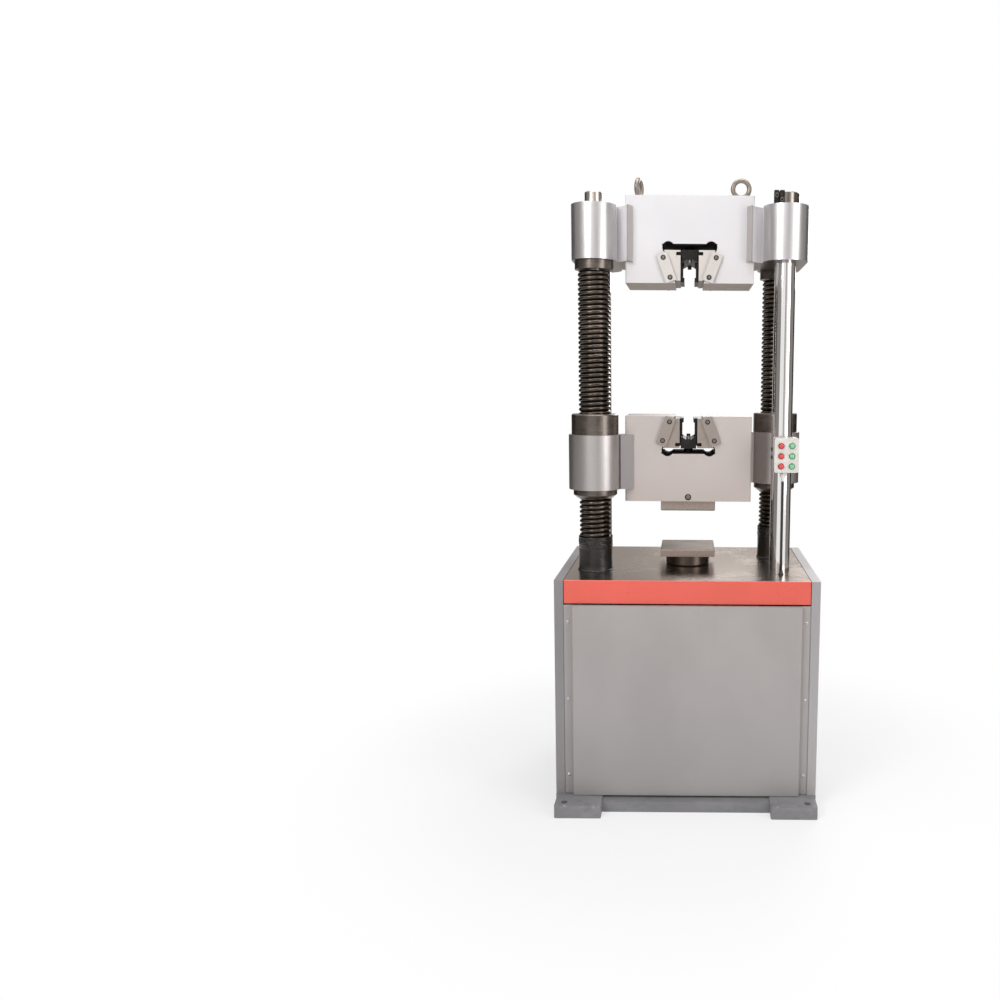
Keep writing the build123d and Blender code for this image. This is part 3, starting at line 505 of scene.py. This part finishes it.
def outward(piece):
    only(piece)
    bpy.ops.object.mode_set(mode="EDIT")
    bpy.ops.mesh.select_all(action="SELECT")
    bpy.ops.mesh.remove_doubles(threshold=0.000005)
    bpy.ops.mesh.normals_make_consistent(inside=False)
    bpy.ops.object.mode_set(mode="OBJECT")


def together(pieces, name):
    deselect()
    for piece in pieces:
        piece.select_set(True)
    bpy.context.view_layer.objects.active = pieces[0]
    bpy.ops.object.join()
    return settle(pieces[0], name)


def copyAt(piece, turn, name):
    # a copy with its own mesh, moved by a matrix
    twin = piece.copy()
    twin.data = piece.data.copy()
    twin.data.transform(turn)
    twin.name = name
    bpy.context.scene.collection.objects.link(twin)
    return twin


def remove(piece):
    bpy.data.objects.remove(piece)


def profileLine(points):
    # one vertex is left of a plane, and the line is extruded from it
    bpy.ops.mesh.primitive_plane_add(size=0.01, location=(0, 0, 0))
    line = bpy.context.object
    bpy.ops.object.mode_set(mode="EDIT")
    bpy.ops.mesh.select_all(action="SELECT")
    bpy.ops.mesh.merge(type="CENTER")
    last = Vector((points[0][0], 0, points[0][1]))
    bpy.ops.transform.translate(value=last)
    for x, z in points[1:]:
        spot = Vector((x, 0, z))
        bpy.ops.mesh.extrude_region_move(TRANSFORM_OT_translate={"value": spot - last})
        last = spot
    bpy.ops.object.mode_set(mode="OBJECT")
    return line


def lathe(points, name, steps=48, axisTurn=None, spot=(0, 0, 0)):
    # turned about Z, then laid along another axis if asked
    piece = profileLine(points)
    addModifier(piece, "SCREW", axis="Z", steps=steps, render_steps=steps, use_merge_vertices=True,
                merge_threshold=0.000005)
    outward(piece)
    turn = Matrix.Translation(Vector(spot))
    if axisTurn is not None:
        turn = turn @ axisTurn
    piece.data.transform(turn)
    settle(piece, name)
    smooth(piece)
    return piece


def finishPiece(piece, finishName, body, replaced=()):
    piece.data.materials.clear()
    piece.data.materials.append(finishes[finishName])
    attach(piece, body)
    if replaced:
        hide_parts(*replaced)
    return piece


faceFront = Matrix.Rotation(math.radians(90), 4, "X")      # Z of a turned piece points to the front
faceBack = Matrix.Rotation(math.radians(-90), 4, "X")


# Lead screws: the thread is one turn's profile, wound up the bar
leadScrew = {
    "pitch": 16 * mm,
    "major": 54.9 * mm,
    "minor": 47.2 * mm,
    "crestPower": 2.3,
    "profileSteps": 12,
    "threadTop": 1795 * mm,
    "top": 2051 * mm,
    "journal": 29.9 * mm,
    "steps": 40,
    "foot": 230.5 * mm,
    "lowFoot": 60 * mm,
    "bearing": 44.9 * mm,
    "bearingFoot": 180.3 * mm,
    "chamfer": 2.2 * mm,
    # the lathe centre in the top end
    "centreRim": 6 * mm,
    "centreFloor": 4 * mm,
    "centreDepth": 3 * mm,
    "lap": 2 * mm,
    "gap": 0.2 * mm,
    "spots": (("Left", -0.320, -0.125), ("Right", 0.320, 0.125)),
}


def buildThread():
    s = leadScrew
    p = s["pitch"]
    span = s["threadTop"] - s["foot"]
    turns = int(span / p) + 2
    # a rounded crest between steep flanks
    points = []
    for step in range(s["profileSteps"] + 1):
        part = step / s["profileSteps"]
        swell = 1 - abs(2 * part - 1) ** s["crestPower"]
        points.append((s["minor"] + (s["major"] - s["minor"]) * swell, part * p))
    thread = profileLine(points)
    addModifier(thread, "SCREW", axis="Z", screw_offset=p, iterations=turns, steps=s["steps"],
                render_steps=s["steps"], use_merge_vertices=True, merge_threshold=0.00001)
    thread.data.transform(Matrix.Translation((0, 0, s["foot"] - p)))
    outward(thread)
    only(thread)
    for height, side in ((s["foot"], True), (s["threadTop"], False)):
        bpy.ops.object.mode_set(mode="EDIT")
        bpy.ops.mesh.select_all(action="SELECT")
        bpy.ops.mesh.bisect(plane_co=(0, 0, height), plane_no=(0, 0, 1), use_fill=True,
                            clear_inner=side, clear_outer=not side)
        bpy.ops.object.mode_set(mode="OBJECT")
    smooth(thread, 80)
    return thread


def buildScrews():
    s = leadScrew
    thread = buildThread()
    top, chamfer, start = s["top"], s["chamfer"], s["threadTop"] - s["lap"]
    journal = lathe([(0, start), (s["journal"], start), (s["journal"], top - chamfer),
                     (s["journal"] - chamfer, top), (s["centreRim"], top),
                     (s["centreFloor"], top - s["centreDepth"]), (0, top - s["centreDepth"])], "journal")
    end = s["foot"] - s["gap"]
    shank = lathe([(0, s["lowFoot"]), (s["journal"], s["lowFoot"]), (s["journal"], s["bearingFoot"]),
                   (s["bearing"], s["bearingFoot"]), (s["bearing"], end), (0, end)], "shank")
    for side, x, y in s["spots"]:
        body = side.lower() + "_screw"
        move = Matrix.Translation((x, y, 0))
        wound = copyAt(thread, move, "screwThread" + side)
        finishPiece(wound, "screw_steel", body, replaced=("screw_" + side.lower(),))
        finishPiece(copyAt(journal, move, "screwJournal" + side), "journal", body)
        finishPiece(copyAt(shank, move, "screwShank" + side), "screw_steel", body)
    for piece in (thread, journal, shank):
        remove(piece)
    print("lead screws: thread of", s["pitch"], "m pitch")


buildScrews()


# Fasteners: one of each kind is modelled, then copied
def socketHead(radius, height, keyWidth, name):
    # round head with a chamfered rim and a six-sided socket
    rim = radius * 0.12
    head = lathe([(0, 0), (radius, 0), (radius, height - rim), (radius - rim, height), (0, height)], name, 26)
    bpy.ops.mesh.primitive_cylinder_add(vertices=6, radius=keyWidth, depth=height * 1.2,
                                        location=(0, 0, height * 0.95))
    key = bpy.context.object
    addModifier(head, "BOOLEAN", operation="DIFFERENCE", object=key, solver="EXACT")
    remove(key)
    smooth(head, 30)
    return head


def slotHead(radius, height, name):
    # low domed head with a cross cut
    dome = [(0, 0), (radius, 0)]
    for step in range(1, 6):
        angle = math.radians(90 * step / 5)
        dome.append((radius * math.cos(angle), height * (0.25 + 0.75 * math.sin(angle))))
    head = lathe(dome, name, 24)
    for turn in (0, 90):
        bpy.ops.mesh.primitive_cube_add(size=1, location=(0, 0, height))
        cutter = bpy.context.object
        cutter.scale = (radius * 1.1, radius * 0.22, height * 0.8)
        cutter.rotation_euler = (0, 0, math.radians(turn))
        settle(cutter, "cutter")
        addModifier(head, "BOOLEAN", operation="DIFFERENCE", object=cutter, solver="EXACT")
        remove(cutter)
    smooth(head, 30)
    return head


def placeMany(source, spots, name, finishName, body, turn=None):
    copies = []
    for index, spot in enumerate(spots):
        move = Matrix.Translation(Vector(spot))
        if turn is not None:
            move = move @ turn
        copies.append(copyAt(source, move, f"{name}{index}"))
    return finishPiece(together(copies, name), finishName, body)


coverScrews = {
    "radius": 5.5 * mm,
    "height": 3.0 * mm,
    "x": 396 * mm,
    "heights": [110 * mm, 375 * mm, 640 * mm],
    "plane": 312 * mm,
}
guideScrews = {
    "ring": 8.6 * mm,
    "ringHeight": 1.0 * mm,
    "radius": 5.4 * mm,
    "height": 1.6 * mm,
    "key": 2.6 * mm,
    "offset": 34.3 * mm,
    "tilt": 20.0,
    "length": 98 * mm,
    "width": 37 * mm,
}
lockScrew = {
    "ring": 11.0 * mm,
    "radius": 7.4 * mm,
    "height": 2.0 * mm,
    "key": 4.0 * mm,
    "above": 15 * mm,
}
yokeBolt = {
    "radius": 7.0 * mm,
    "height": 10.0 * mm,
    "key": 3.2 * mm,
    "sink": 10.0 * mm,
    "fromEnd": 11.0 * mm,
}


def buildCoverScrews():
    s = coverScrews
    head = slotHead(s["radius"], s["height"], "coverScrew")
    front = [(x, -s["plane"], z) for x in (-s["x"], s["x"]) for z in s["heights"]]
    back = [(x, s["plane"], z) for x in (-s["x"], s["x"]) for z in s["heights"]]
    placeMany(head, front, "coverScrewsFront", "wedge_steel", "base", faceFront)
    placeMany(head, back, "coverScrewsRear", "wedge_steel", "base", faceBack)
    remove(head)


def recessShadeRing(radius, hole, height, name):
    # painted shade of a counterbore: a flat black ring with a rounded lip round the screw head, where the
    # recess would lie in shade
    return lathe([(hole, 0), (radius, 0), (radius, height * 0.6), (radius - height * 0.5, height),
                  (hole + height * 0.4, height), (hole, height * 0.6), (hole, 0)], name, 32)


def buildGuideScrews():
    s = guideScrews
    head = socketHead(s["radius"], s["height"], s["key"], "guideScrew")
    ring = recessShadeRing(s["ring"], s["radius"], s["ringHeight"], "guideRecessShade")
    tilt = math.radians(s["tilt"])
    reach = s["length"] / 2 * math.sin(tilt) + s["width"] / 2 * math.cos(tilt)
    for level, body, up in (("upper", "moving_frame", 1), ("lower", "lower_head", -1)):
        low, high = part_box(level + "_guide_plates")
        spots = {-1: [], 1: []}
        # the plates are mirrored, so one plate's middle gives all four
        middleZ = (low.z + high.z) / 2
        middleX = high.x - reach
        for side in (-1, 1):
            for end in (-1, 1):
                x = side * (middleX + up * end * s["offset"] * math.sin(tilt))
                z = middleZ + end * s["offset"] * math.cos(tilt)
                spots[-1].append((x, low.y, z))
                spots[1].append((x, high.y, z))
        for side, turn, place in ((-1, faceFront, "Front"), (1, faceBack, "Rear")):
            placeMany(head, spots[side], f"{level}GuideScrews{place}", "boltSteel", body, turn)
            # black rings round the heads as painted shade of their counterbores
            placeMany(ring, spots[side], f"{level}GuideRings{place}", "jaw_black", body, turn)
    remove(head)
    remove(ring)


def buildLockScrew():
    # it holds the upper platen's stem, front face of the lower crosshead
    s = lockScrew
    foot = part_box("lower_crosshead")[0].z
    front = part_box("lower_guide_plates")[0].y + throatLook["plateProud"]
    spot = (0, front, foot + s["above"])
    head = socketHead(s["radius"], s["height"], s["key"], "lockHead")
    ring = recessShadeRing(s["ring"], s["radius"], s["height"] * 0.6, "lockRecessShade")
    placeMany(head, [spot], "platenLockScrew", "boltSteel", "lower_head", faceFront)
    # a black ring round the head as painted shade of its counterbore
    placeMany(ring, [spot], "platenLockRecessShade", "jaw_black", "lower_head", faceFront)
    remove(head)
    remove(ring)


def buildYokeBolts():
    s = yokeBolt
    bolt = socketHead(s["radius"], s["height"], s["key"], "yokeBolt")
    for level, up in (("upper", -1), ("lower", 1)):
        low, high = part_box(level + "_yoke")
        end = low.z if up < 0 else high.z
        turn = Matrix.Identity(4) if up > 0 else Matrix.Rotation(math.pi, 4, "X")
        spots = [(0, y, end - up * s["sink"]) for y in (low.y + s["fromEnd"], high.y - s["fromEnd"])]
        placeMany(bolt, spots, level + "YokeBolts", "boltSteel", level + "_pull_block", turn)
    remove(bolt)


buildCoverScrews()
buildGuideScrews()
buildLockScrew()
buildYokeBolts()
print("fasteners placed")


# Black boots at the screws' feet: a tight sleeve with a crinkled wrap above it
screwBoot = {
    "bore": 56.0 * mm,
    "wall": 58.4 * mm,
    "waist": 57.4 * mm,
    "flange": 62.0 * mm,
    "flangeHeight": 3.5 * mm,
    "lip": 1 * mm,
    "bowSteps": 9,
    "bowFrom": 8 * mm,
    "bowShort": 10 * mm,
    "ripple": 0.7 * mm,
    "rippleGrain": 50 * mm,
    "wrapTop": 899 * mm,
    "wrapWall": 58.0 * mm,
    "wrapGap": 0.4 * mm,
    "wrapLap": 6 * mm,
    "rows": 13,
    "fold": 0.7 * mm,
    "crinkle": 2.6 * mm,
    "grain": 13 * mm,
}


def buildBoots():
    s = screwBoot
    low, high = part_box("screw_sleeves")
    foot, top = low.z, high.z
    height = top - foot
    flangeTop, lip = foot + s["flangeHeight"], s["lip"]
    outline = [(s["bore"], foot), (s["flange"], foot), (s["flange"], foot + s["flangeHeight"] * 0.7),
               (s["flange"] - lip, flangeTop), (s["wall"] + lip, flangeTop + lip)]
    for step in range(s["bowSteps"] + 1):
        part = step / s["bowSteps"]
        bow = (s["wall"] - s["waist"]) * math.sin(math.pi * part)
        outline.append((s["wall"] - bow, foot + s["bowFrom"] + (height - s["bowShort"]) * part))
    outline += [(s["bore"] + lip, top), (s["bore"], top - lip), (s["bore"], foot)]
    sleeve = lathe(outline, "bootSleeve", 64)
    ripple = bpy.data.textures.new("ripple", "CLOUDS")
    ripple.noise_scale = s["rippleGrain"]
    addModifier(sleeve, "DISPLACE", texture=ripple, strength=s["ripple"], mid_level=0.5)

    # the wrap laps over the sleeve's top, in rows of folds
    inner, start = s["bore"] + s["wrapGap"], top - s["wrapLap"]
    rise = (s["wrapTop"] - top + s["wrapLap"]) / s["rows"]
    wrapLine = [(inner, start)]
    for row in range(s["rows"] + 1):
        fold = s["fold"] * math.sin(row * 2.2)
        wrapLine.append((s["wrapWall"] + fold, start + row * rise * 0.98))
    wrapLine += [(inner, s["wrapTop"]), (inner, start)]
    wrap = lathe(wrapLine, "bootWrap", 96)
    crinkle = bpy.data.textures.new("crinkle", "CLOUDS")
    crinkle.noise_scale = s["grain"]
    crinkle.noise_depth = 3
    addModifier(wrap, "SUBSURF", levels=1, render_levels=1)
    addModifier(wrap, "DISPLACE", texture=crinkle, strength=s["crinkle"], mid_level=0.35)
    smooth(wrap, 60)
    smooth(sleeve, 40)
    for index, (side, x, y) in enumerate(leadScrew["spots"]):
        move = Matrix.Translation((x, y, 0)) @ Matrix.Rotation(index * 2.0, 4, "Z")
        shell = copyAt(sleeve, move, "bootSleeve" + side)
        finishPiece(shell, "boot", "moving_frame", ("screw_sleeves",))
        finishPiece(copyAt(wrap, move, "bootWrap" + side), "boot", "moving_frame")
    remove(sleeve)
    remove(wrap)
    print("boots fitted over the screws")


buildBoots()


# Button box: lens caps in darker rims, the seam of its lid, the gland, the lead and its grommet
lensCap = {
    "rim": 9.7 * mm,
    "lens": 7.6 * mm,
    "rise": 6.0 * mm,
    "crown": 1.6 * mm,
    "stem": 6.0 * mm,
    "back": 17.0 * mm,
    "shoulder": 3.0 * mm,
    "lip": 0.8 * mm,
    "rimEdge": 0.6 * mm,
    "play": 0.4 * mm,
    "bite": 0.1 * mm,
    "sink": 1.4 * mm,
    "domeSteps": 7,
}
boxSeam = {
    "behindFront": 14 * mm,
    "width": 0.9 * mm,
    "proud": 0.15 * mm,
    "corner": 8 * mm,
}
boxLead = {
    "diameter": 7 * mm,
    "order": 3,
    "points": [
        (0.319, -0.2015, 1.100),
        (0.319, -0.2015, 1.058),
        (0.319, -0.2015, 0.838),
        (0.319, -0.2015, 0.796),
    ],
}
boxGland = {
    "nut": 13.2 * mm,
    "nutHeight": 8 * mm,
    "nutEdge": 0.9 * mm,
    "cap": 11.0 * mm,
    "capWide": 11.2 * mm,
    "capDrop": 5 * mm,
    "tail": 9.6 * mm,
    "tailDrop": 8 * mm,
    "play": 0.2 * mm,
    "ribs": 4,
    "rib": 8.4 * mm,
    "ribTaper": 0.8 * mm,
    "ribDepth": 1.1 * mm,
}
leadGrommet = {
    "play": 0.1 * mm,
    # radius and height above the table
    "steps": [
        (9.0 * mm, 0.0),
        (9.0 * mm, 2.6 * mm),
        (8.0 * mm, 4.0 * mm),
        (6.6 * mm, 6 * mm),
        (5.6 * mm, 11 * mm),
    ],
    "neck": 5.2 * mm,
    "tip": 4.6 * mm,
    "chamfer": 0.8 * mm,
}


def buildButtons():
    s = lensCap
    level, lip = s["rise"] - s["crown"], s["lip"]
    rim = lathe([(0, -s["back"]), (s["stem"], -s["back"]), (s["stem"], -s["shoulder"]),
                 (s["rim"], -s["shoulder"]), (s["rim"], level - lip), (s["rim"] - s["rimEdge"], level),
                 (s["lens"] + s["play"], level), (s["lens"] - s["bite"], level - lip), (0, level - lip)],
                "buttonRim", 40)
    dome = [(0, level - s["sink"]), (s["lens"], level - s["sink"])]
    for step in range(1, s["domeSteps"] + 1):
        angle = math.radians(90 * step / s["domeSteps"])
        height = level - lip + (s["crown"] + lip) * math.sin(angle)
        dome.append((s["lens"] * math.cos(angle), height))
    lens = lathe(dome, "buttonLens", 40)
    smooth(lens, 60)
    for side, colour in (("left", "Red"), ("right", "Green")):
        for row in ("top", "middle", "bottom"):
            name = f"button_{side}_{row}"
            low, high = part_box(name)
            spot = ((low.x + high.x) / 2, low.y + s["rise"], (low.z + high.z) / 2)
            move = Matrix.Translation(Vector(spot)) @ faceFront
            body = f"{side}_{row}_button"
            slotName = "button_" + colour.lower()
            holder = copyAt(rim, move, f"rim{colour}{row.title()}")
            finishPiece(holder, "rim" + colour, body, (name,))
            finishPiece(copyAt(lens, move, f"lens{colour}{row.title()}"), slotName, body)
    remove(rim)
    remove(lens)


def buildSeam():
    s = boxSeam
    low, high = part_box("button_box")
    deselect()
    bpy.ops.mesh.primitive_cube_add(size=1, location=((low.x + high.x) / 2, low.y + s["behindFront"],
                                                      (low.z + high.z) / 2))
    seam = bpy.context.object
    seam.scale = (high.x - low.x + 2 * s["proud"], s["width"], high.z - low.z + 2 * s["proud"])
    settle(seam, "boxLidSeam")
    # only the four edges along Y are rounded, as the box's own corners are
    only(seam)
    for edge in seam.data.edges:
        first, second = (seam.data.vertices[i].co for i in edge.vertices)
        edge.select = abs(first.y - second.y) > s["width"] / 2
    for face in seam.data.polygons:
        face.select = False
    bpy.ops.object.mode_set(mode="EDIT")
    bpy.ops.mesh.select_mode(type="EDGE")
    bpy.ops.mesh.bevel(offset=s["corner"], segments=6, affect="EDGES")
    bpy.ops.mesh.select_mode(type="VERT")    # the lathe's profiles need it
    bpy.ops.object.mode_set(mode="OBJECT")
    smooth(seam, 30)
    finishPiece(seam, "jaw_black", "moving_frame")


def buildLead():
    s = boxLead
    line = bpy.data.curves.new("boxLeadLine", "CURVE")
    line.dimensions = "3D"
    line.bevel_depth = s["diameter"] / 2
    line.bevel_resolution = 5
    line.resolution_u = 10
    line.use_fill_caps = True
    spline = line.splines.new("NURBS")
    spline.points.add(len(s["points"]) - 1)
    for point, place in zip(spline.points, s["points"]):
        point.co = (*place, 1)
    spline.order_u = s["order"]
    spline.use_endpoint_u = True
    lead = bpy.data.objects.new("boxLeadLine", line)
    bpy.context.scene.collection.objects.link(lead)
    finishPiece(lead, "lead_black", "moving_frame", replaced=("box_lead",))


def buildGland():
    g = boxGland
    x, y, tip = boxLead["points"][0]
    radius = boxLead["diameter"] / 2
    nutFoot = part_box("button_box")[0].z - g["nutHeight"]
    deselect()
    bpy.ops.mesh.primitive_cylinder_add(vertices=6, radius=g["nut"], depth=g["nutHeight"],
                                        location=(x, y, nutFoot + g["nutHeight"] / 2))
    nut = settle(bpy.context.object, "glandNut")
    soften(nut, g["nutEdge"])
    # a clamping cap and a ribbed tail that narrows to the lead
    inner, tailTop = radius + g["play"], nutFoot - g["tailDrop"]
    outline = [(inner, nutFoot), (g["cap"], nutFoot), (g["capWide"], nutFoot - g["capDrop"]),
               (g["tail"], tailTop)]
    pitch = (tailTop - tip) / g["ribs"]
    for rib in range(g["ribs"]):
        high = tailTop - pitch * rib
        wide = g["rib"] - rib * g["ribTaper"]
        waist = wide - g["ribDepth"]
        outline += [(wide, high - pitch * 0.15), (wide, high - pitch * 0.6),
                    (waist, high - pitch * 0.75), (waist, high - pitch * 0.95)]
    outline += [(inner, tip), (inner, nutFoot)]
    tail = lathe(outline, "glandTail", 36, spot=(x, y, 0))
    gland = together([nut, tail], "boxGland")
    smooth(gland, 35)
    finishPiece(gland, "gland_white", "moving_frame", replaced=("cable_gland",))
    # the grommet carries the lead's lower end
    c = leadGrommet
    tableTop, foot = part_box("work_table")[1].z, boxLead["points"][-1][2]
    bore = radius + c["play"]
    rings = [(bore, tableTop)] + [(wide, tableTop + height) for wide, height in c["steps"]]
    rings += [(c["neck"], foot - c["chamfer"]), (c["tip"], foot), (bore, foot), (bore, tableTop)]
    collar = lathe(rings, "leadGrommet", 36, spot=(x, y, 0))
    finishPiece(collar, "boot", "moving_frame", ("cable_gland",))


buildButtons()
buildSeam()
buildLead()
buildGland()
print("button box finished")


# A split clamp beside the round nut of the front right column
capClamp = {
    "size": (34 * mm, 24 * mm, 45 * mm),
    "place": (292.5 * mm, -158 * mm),
    "slit": 3 * mm,
    "edge": 1.0 * mm,
    "boltSunk": 5 * mm,
    # side and height of each bolt, as parts of the block
    "bolts": [(-0.25, 0.62), (0.25, 0.32)],
}


def buildCapClamp():
    s = capClamp
    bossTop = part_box("guide_bushes")[1].z
    x, y = s["place"]
    width, depth, height = s["size"]
    deselect()
    bpy.ops.mesh.primitive_cube_add(size=1, location=(x, y, bossTop + height / 2))
    body = bpy.context.object
    body.scale = s["size"]
    settle(body, "capClampBlock")
    bpy.ops.mesh.primitive_cube_add(size=1, location=(x, y - depth * 0.2, bossTop + height * 0.75))
    slit = bpy.context.object
    slit.scale = (s["slit"], depth, height)
    settle(slit, "slit")
    addModifier(body, "BOOLEAN", operation="DIFFERENCE", object=slit, solver="EXACT")
    remove(slit)
    soften(body, s["edge"])
    smooth(body, 35)
    finishPiece(body, "jaw_black", "moving_frame")
    bolt = socketHead(yokeBolt["radius"], yokeBolt["height"], yokeBolt["key"], "capBolt")
    front = y - depth / 2 + s["boltSunk"]
    spots = [(x + width * side, front, bossTop + height * up) for side, up in s["bolts"]]
    placeMany(bolt, spots, "capClampBolts", "nut_black", "moving_frame", faceFront)
    remove(bolt)


buildCapClamp()
print("cap clamp fitted")


# Pale floor, soft lamps and the photograph's camera
studio = {
    "floorSize": 14.0,
    "floorColour": (0.86, 0.86, 0.865),
    "worldSeen": 1.0,
    "worldOnObject": 0.42,
    "imageSide": 1000,
    "focalPixels": 900.0,
    "centreColumn": 688.0,
    "cameraSpot": (0.0, -3.215, 1.426),
    "pitchDown": 7.40,
    "roll": 0.40,
    "sensor": 36.0,
    # how much white the floor gives near the object, and where it turns wholly white
    "nearWhite": 0.55,
    "whiteFrom": 0.75,
    "whiteAt": 1.5,
}
lamps = [
    # name, place, aimed at, width, height, watts
    ("keyLamp", (-2.1, -3.0, 3.1), (0, 0, 1.1), 1.6, 1.6, 62),
    ("fillLamp", (2.6, -2.2, 1.7), (0, 0, 0.9), 1.2, 2.2, 34),
    ("topLamp", (0.1, -0.3, 4.0), (0, 0, 1.0), 2.2, 2.0, 52),
    ("backLamp", (0.8, 3.0, 2.8), (0, 0, 1.0), 2.0, 1.6, 50),
]
boards = {
    "radius": 3.8,
    "low": 0.02,
    "high": 3.3,
    "steps": 16,
    # name, from and to in degrees (0 faces the front, 90 the right side), grey
    "zones": [
        ("boardLeft", -100, -36, 0.27),
        ("boardRearLeft", -152, -100, 0.03),
        ("boardRight", 62, 112, 0.27),
        ("boardRearRight", 112, 158, 0.03),
        ("boardRear", 158, 208, 0.50),
        ("boardFront", 8, 22, 0.45),
    ],
}


def aim(thing, spot, target):
    thing.location = spot
    thing.rotation_euler = (Vector(target) - Vector(spot)).to_track_quat("-Z", "Y").to_euler()


def buildStudio():
    world = bpy.data.worlds.new("studio")
    bpy.context.scene.world = world
    world.use_nodes = True
    tree = world.node_tree
    path = tree.nodes.new("ShaderNodeLightPath")
    seen = tree.nodes.new("ShaderNodeMath")
    seen.operation = "MAXIMUM"
    tree.links.new(path.outputs["Is Camera Ray"], seen.inputs[0])
    tree.links.new(path.outputs["Is Glossy Ray"], seen.inputs[1])
    also = tree.nodes.new("ShaderNodeMath")
    also.operation = "MAXIMUM"
    tree.links.new(seen.outputs[0], also.inputs[0])
    tree.links.new(path.outputs["Is Transmission Ray"], also.inputs[1])
    level = tree.nodes.new("ShaderNodeMapRange")
    level.inputs["To Min"].default_value = studio["worldOnObject"]
    level.inputs["To Max"].default_value = studio["worldSeen"]
    tree.links.new(also.outputs[0], level.inputs[0])
    background = tree.nodes["Background"]
    background.inputs[0].default_value = (1, 1, 1, 1)
    tree.links.new(level.outputs[0], background.inputs[1])

    deselect()
    bpy.ops.mesh.primitive_plane_add(size=studio["floorSize"], location=(0, 0, cadLow.z))
    floor = bpy.context.object
    floor.name = "floor"
    ground = Finish("floorPaint", 0.7)
    ground.set("Base Color", (*studio["floorColour"], 1))
    # what looks at the floor sees it turn white away from the object's shadow
    direct = (ground.node("ShaderNodeLightPath", {}, {}, "Is Camera Ray")
              + ground.node("ShaderNodeLightPath", {}, {}, "Is Glossy Ray")
              + ground.node("ShaderNodeLightPath", {}, {}, "Is Transmission Ray")) > 0.5
    reach = (ground.along(0) ** 2 + ground.along(1) ** 2) ** 0.5
    far = ground.rise(reach, studio["whiteFrom"], studio["whiteAt"])
    share = direct * (studio["nearWhite"] + far * (1 - studio["nearWhite"]))
    white = ground.node("ShaderNodeEmission", {}, {"Color": (1, 1, 1, 1), "Strength": 1.0})
    painted = Sock(ground, ground.shader.outputs[0])
    mixed = ground.node("ShaderNodeMixShader", {}, {0: share, 1: painted, 2: white})
    ground.tree.links.new(mixed.socket, ground.tree.nodes["Material Output"].inputs[0])
    floor.data.materials.append(ground.material)

    for name, spot, target, width, height, watts in lamps:
        lamp = bpy.data.lights.new(name, "AREA")
        lamp.shape = "RECTANGLE"
        lamp.size = width
        lamp.size_y = height
        lamp.energy = watts
        holder = bpy.data.objects.new(name, lamp)
        bpy.context.scene.collection.objects.link(holder)
        aim(holder, spot, target)

    # curved boards round the machine, which only bright metal sees
    for name, start, end, grey in boards["zones"]:
        board = Finish(name, 0.9)
        board.set("Base Color", (0.0, 0.0, 0.0, 1))
        board.set("Specular IOR Level", 0.0)
        board.set("Emission Color", (grey, grey * 0.93, grey * 0.87, 1))
        board.set("Emission Strength", 1.0)
        deselect()
        card = profileLine([(boards["radius"], boards["low"]), (boards["radius"], boards["high"])])
        addModifier(card, "SCREW", axis="Z", angle=math.radians(end - start), steps=boards["steps"],
                    render_steps=boards["steps"])
        middle = sum((vertex.co for vertex in card.data.vertices), Vector())
        turn = math.radians((start + end) / 2 - 90) - math.atan2(middle.y, middle.x)
        card.data.transform(Matrix.Rotation(turn, 4, "Z"))
        settle(card, name)
        card.data.materials.append(board.material)
        card.visible_camera = False
        card.visible_diffuse = False
        card.visible_shadow = False


def buildCamera():
    s = studio
    lens = bpy.data.cameras.new("camera")
    lens.sensor_width = s["sensor"]
    lens.lens = s["focalPixels"] / s["imageSide"] * s["sensor"]
    lens.shift_x = (s["imageSide"] / 2 - s["centreColumn"]) / s["imageSide"]
    holder = bpy.data.objects.new("camera", lens)
    bpy.context.scene.collection.objects.link(holder)
    holder.location = s["cameraSpot"]
    tilt = Matrix.Rotation(math.radians(90 - s["pitchDown"]), 3, "X")
    holder.rotation_euler = (tilt @ Matrix.Rotation(math.radians(s["roll"]), 3, "Z")).to_euler()
    bpy.context.scene.camera = holder
    bpy.context.scene.view_settings.view_transform = "Standard"


buildStudio()
buildCamera()
print("studio and camera placed")
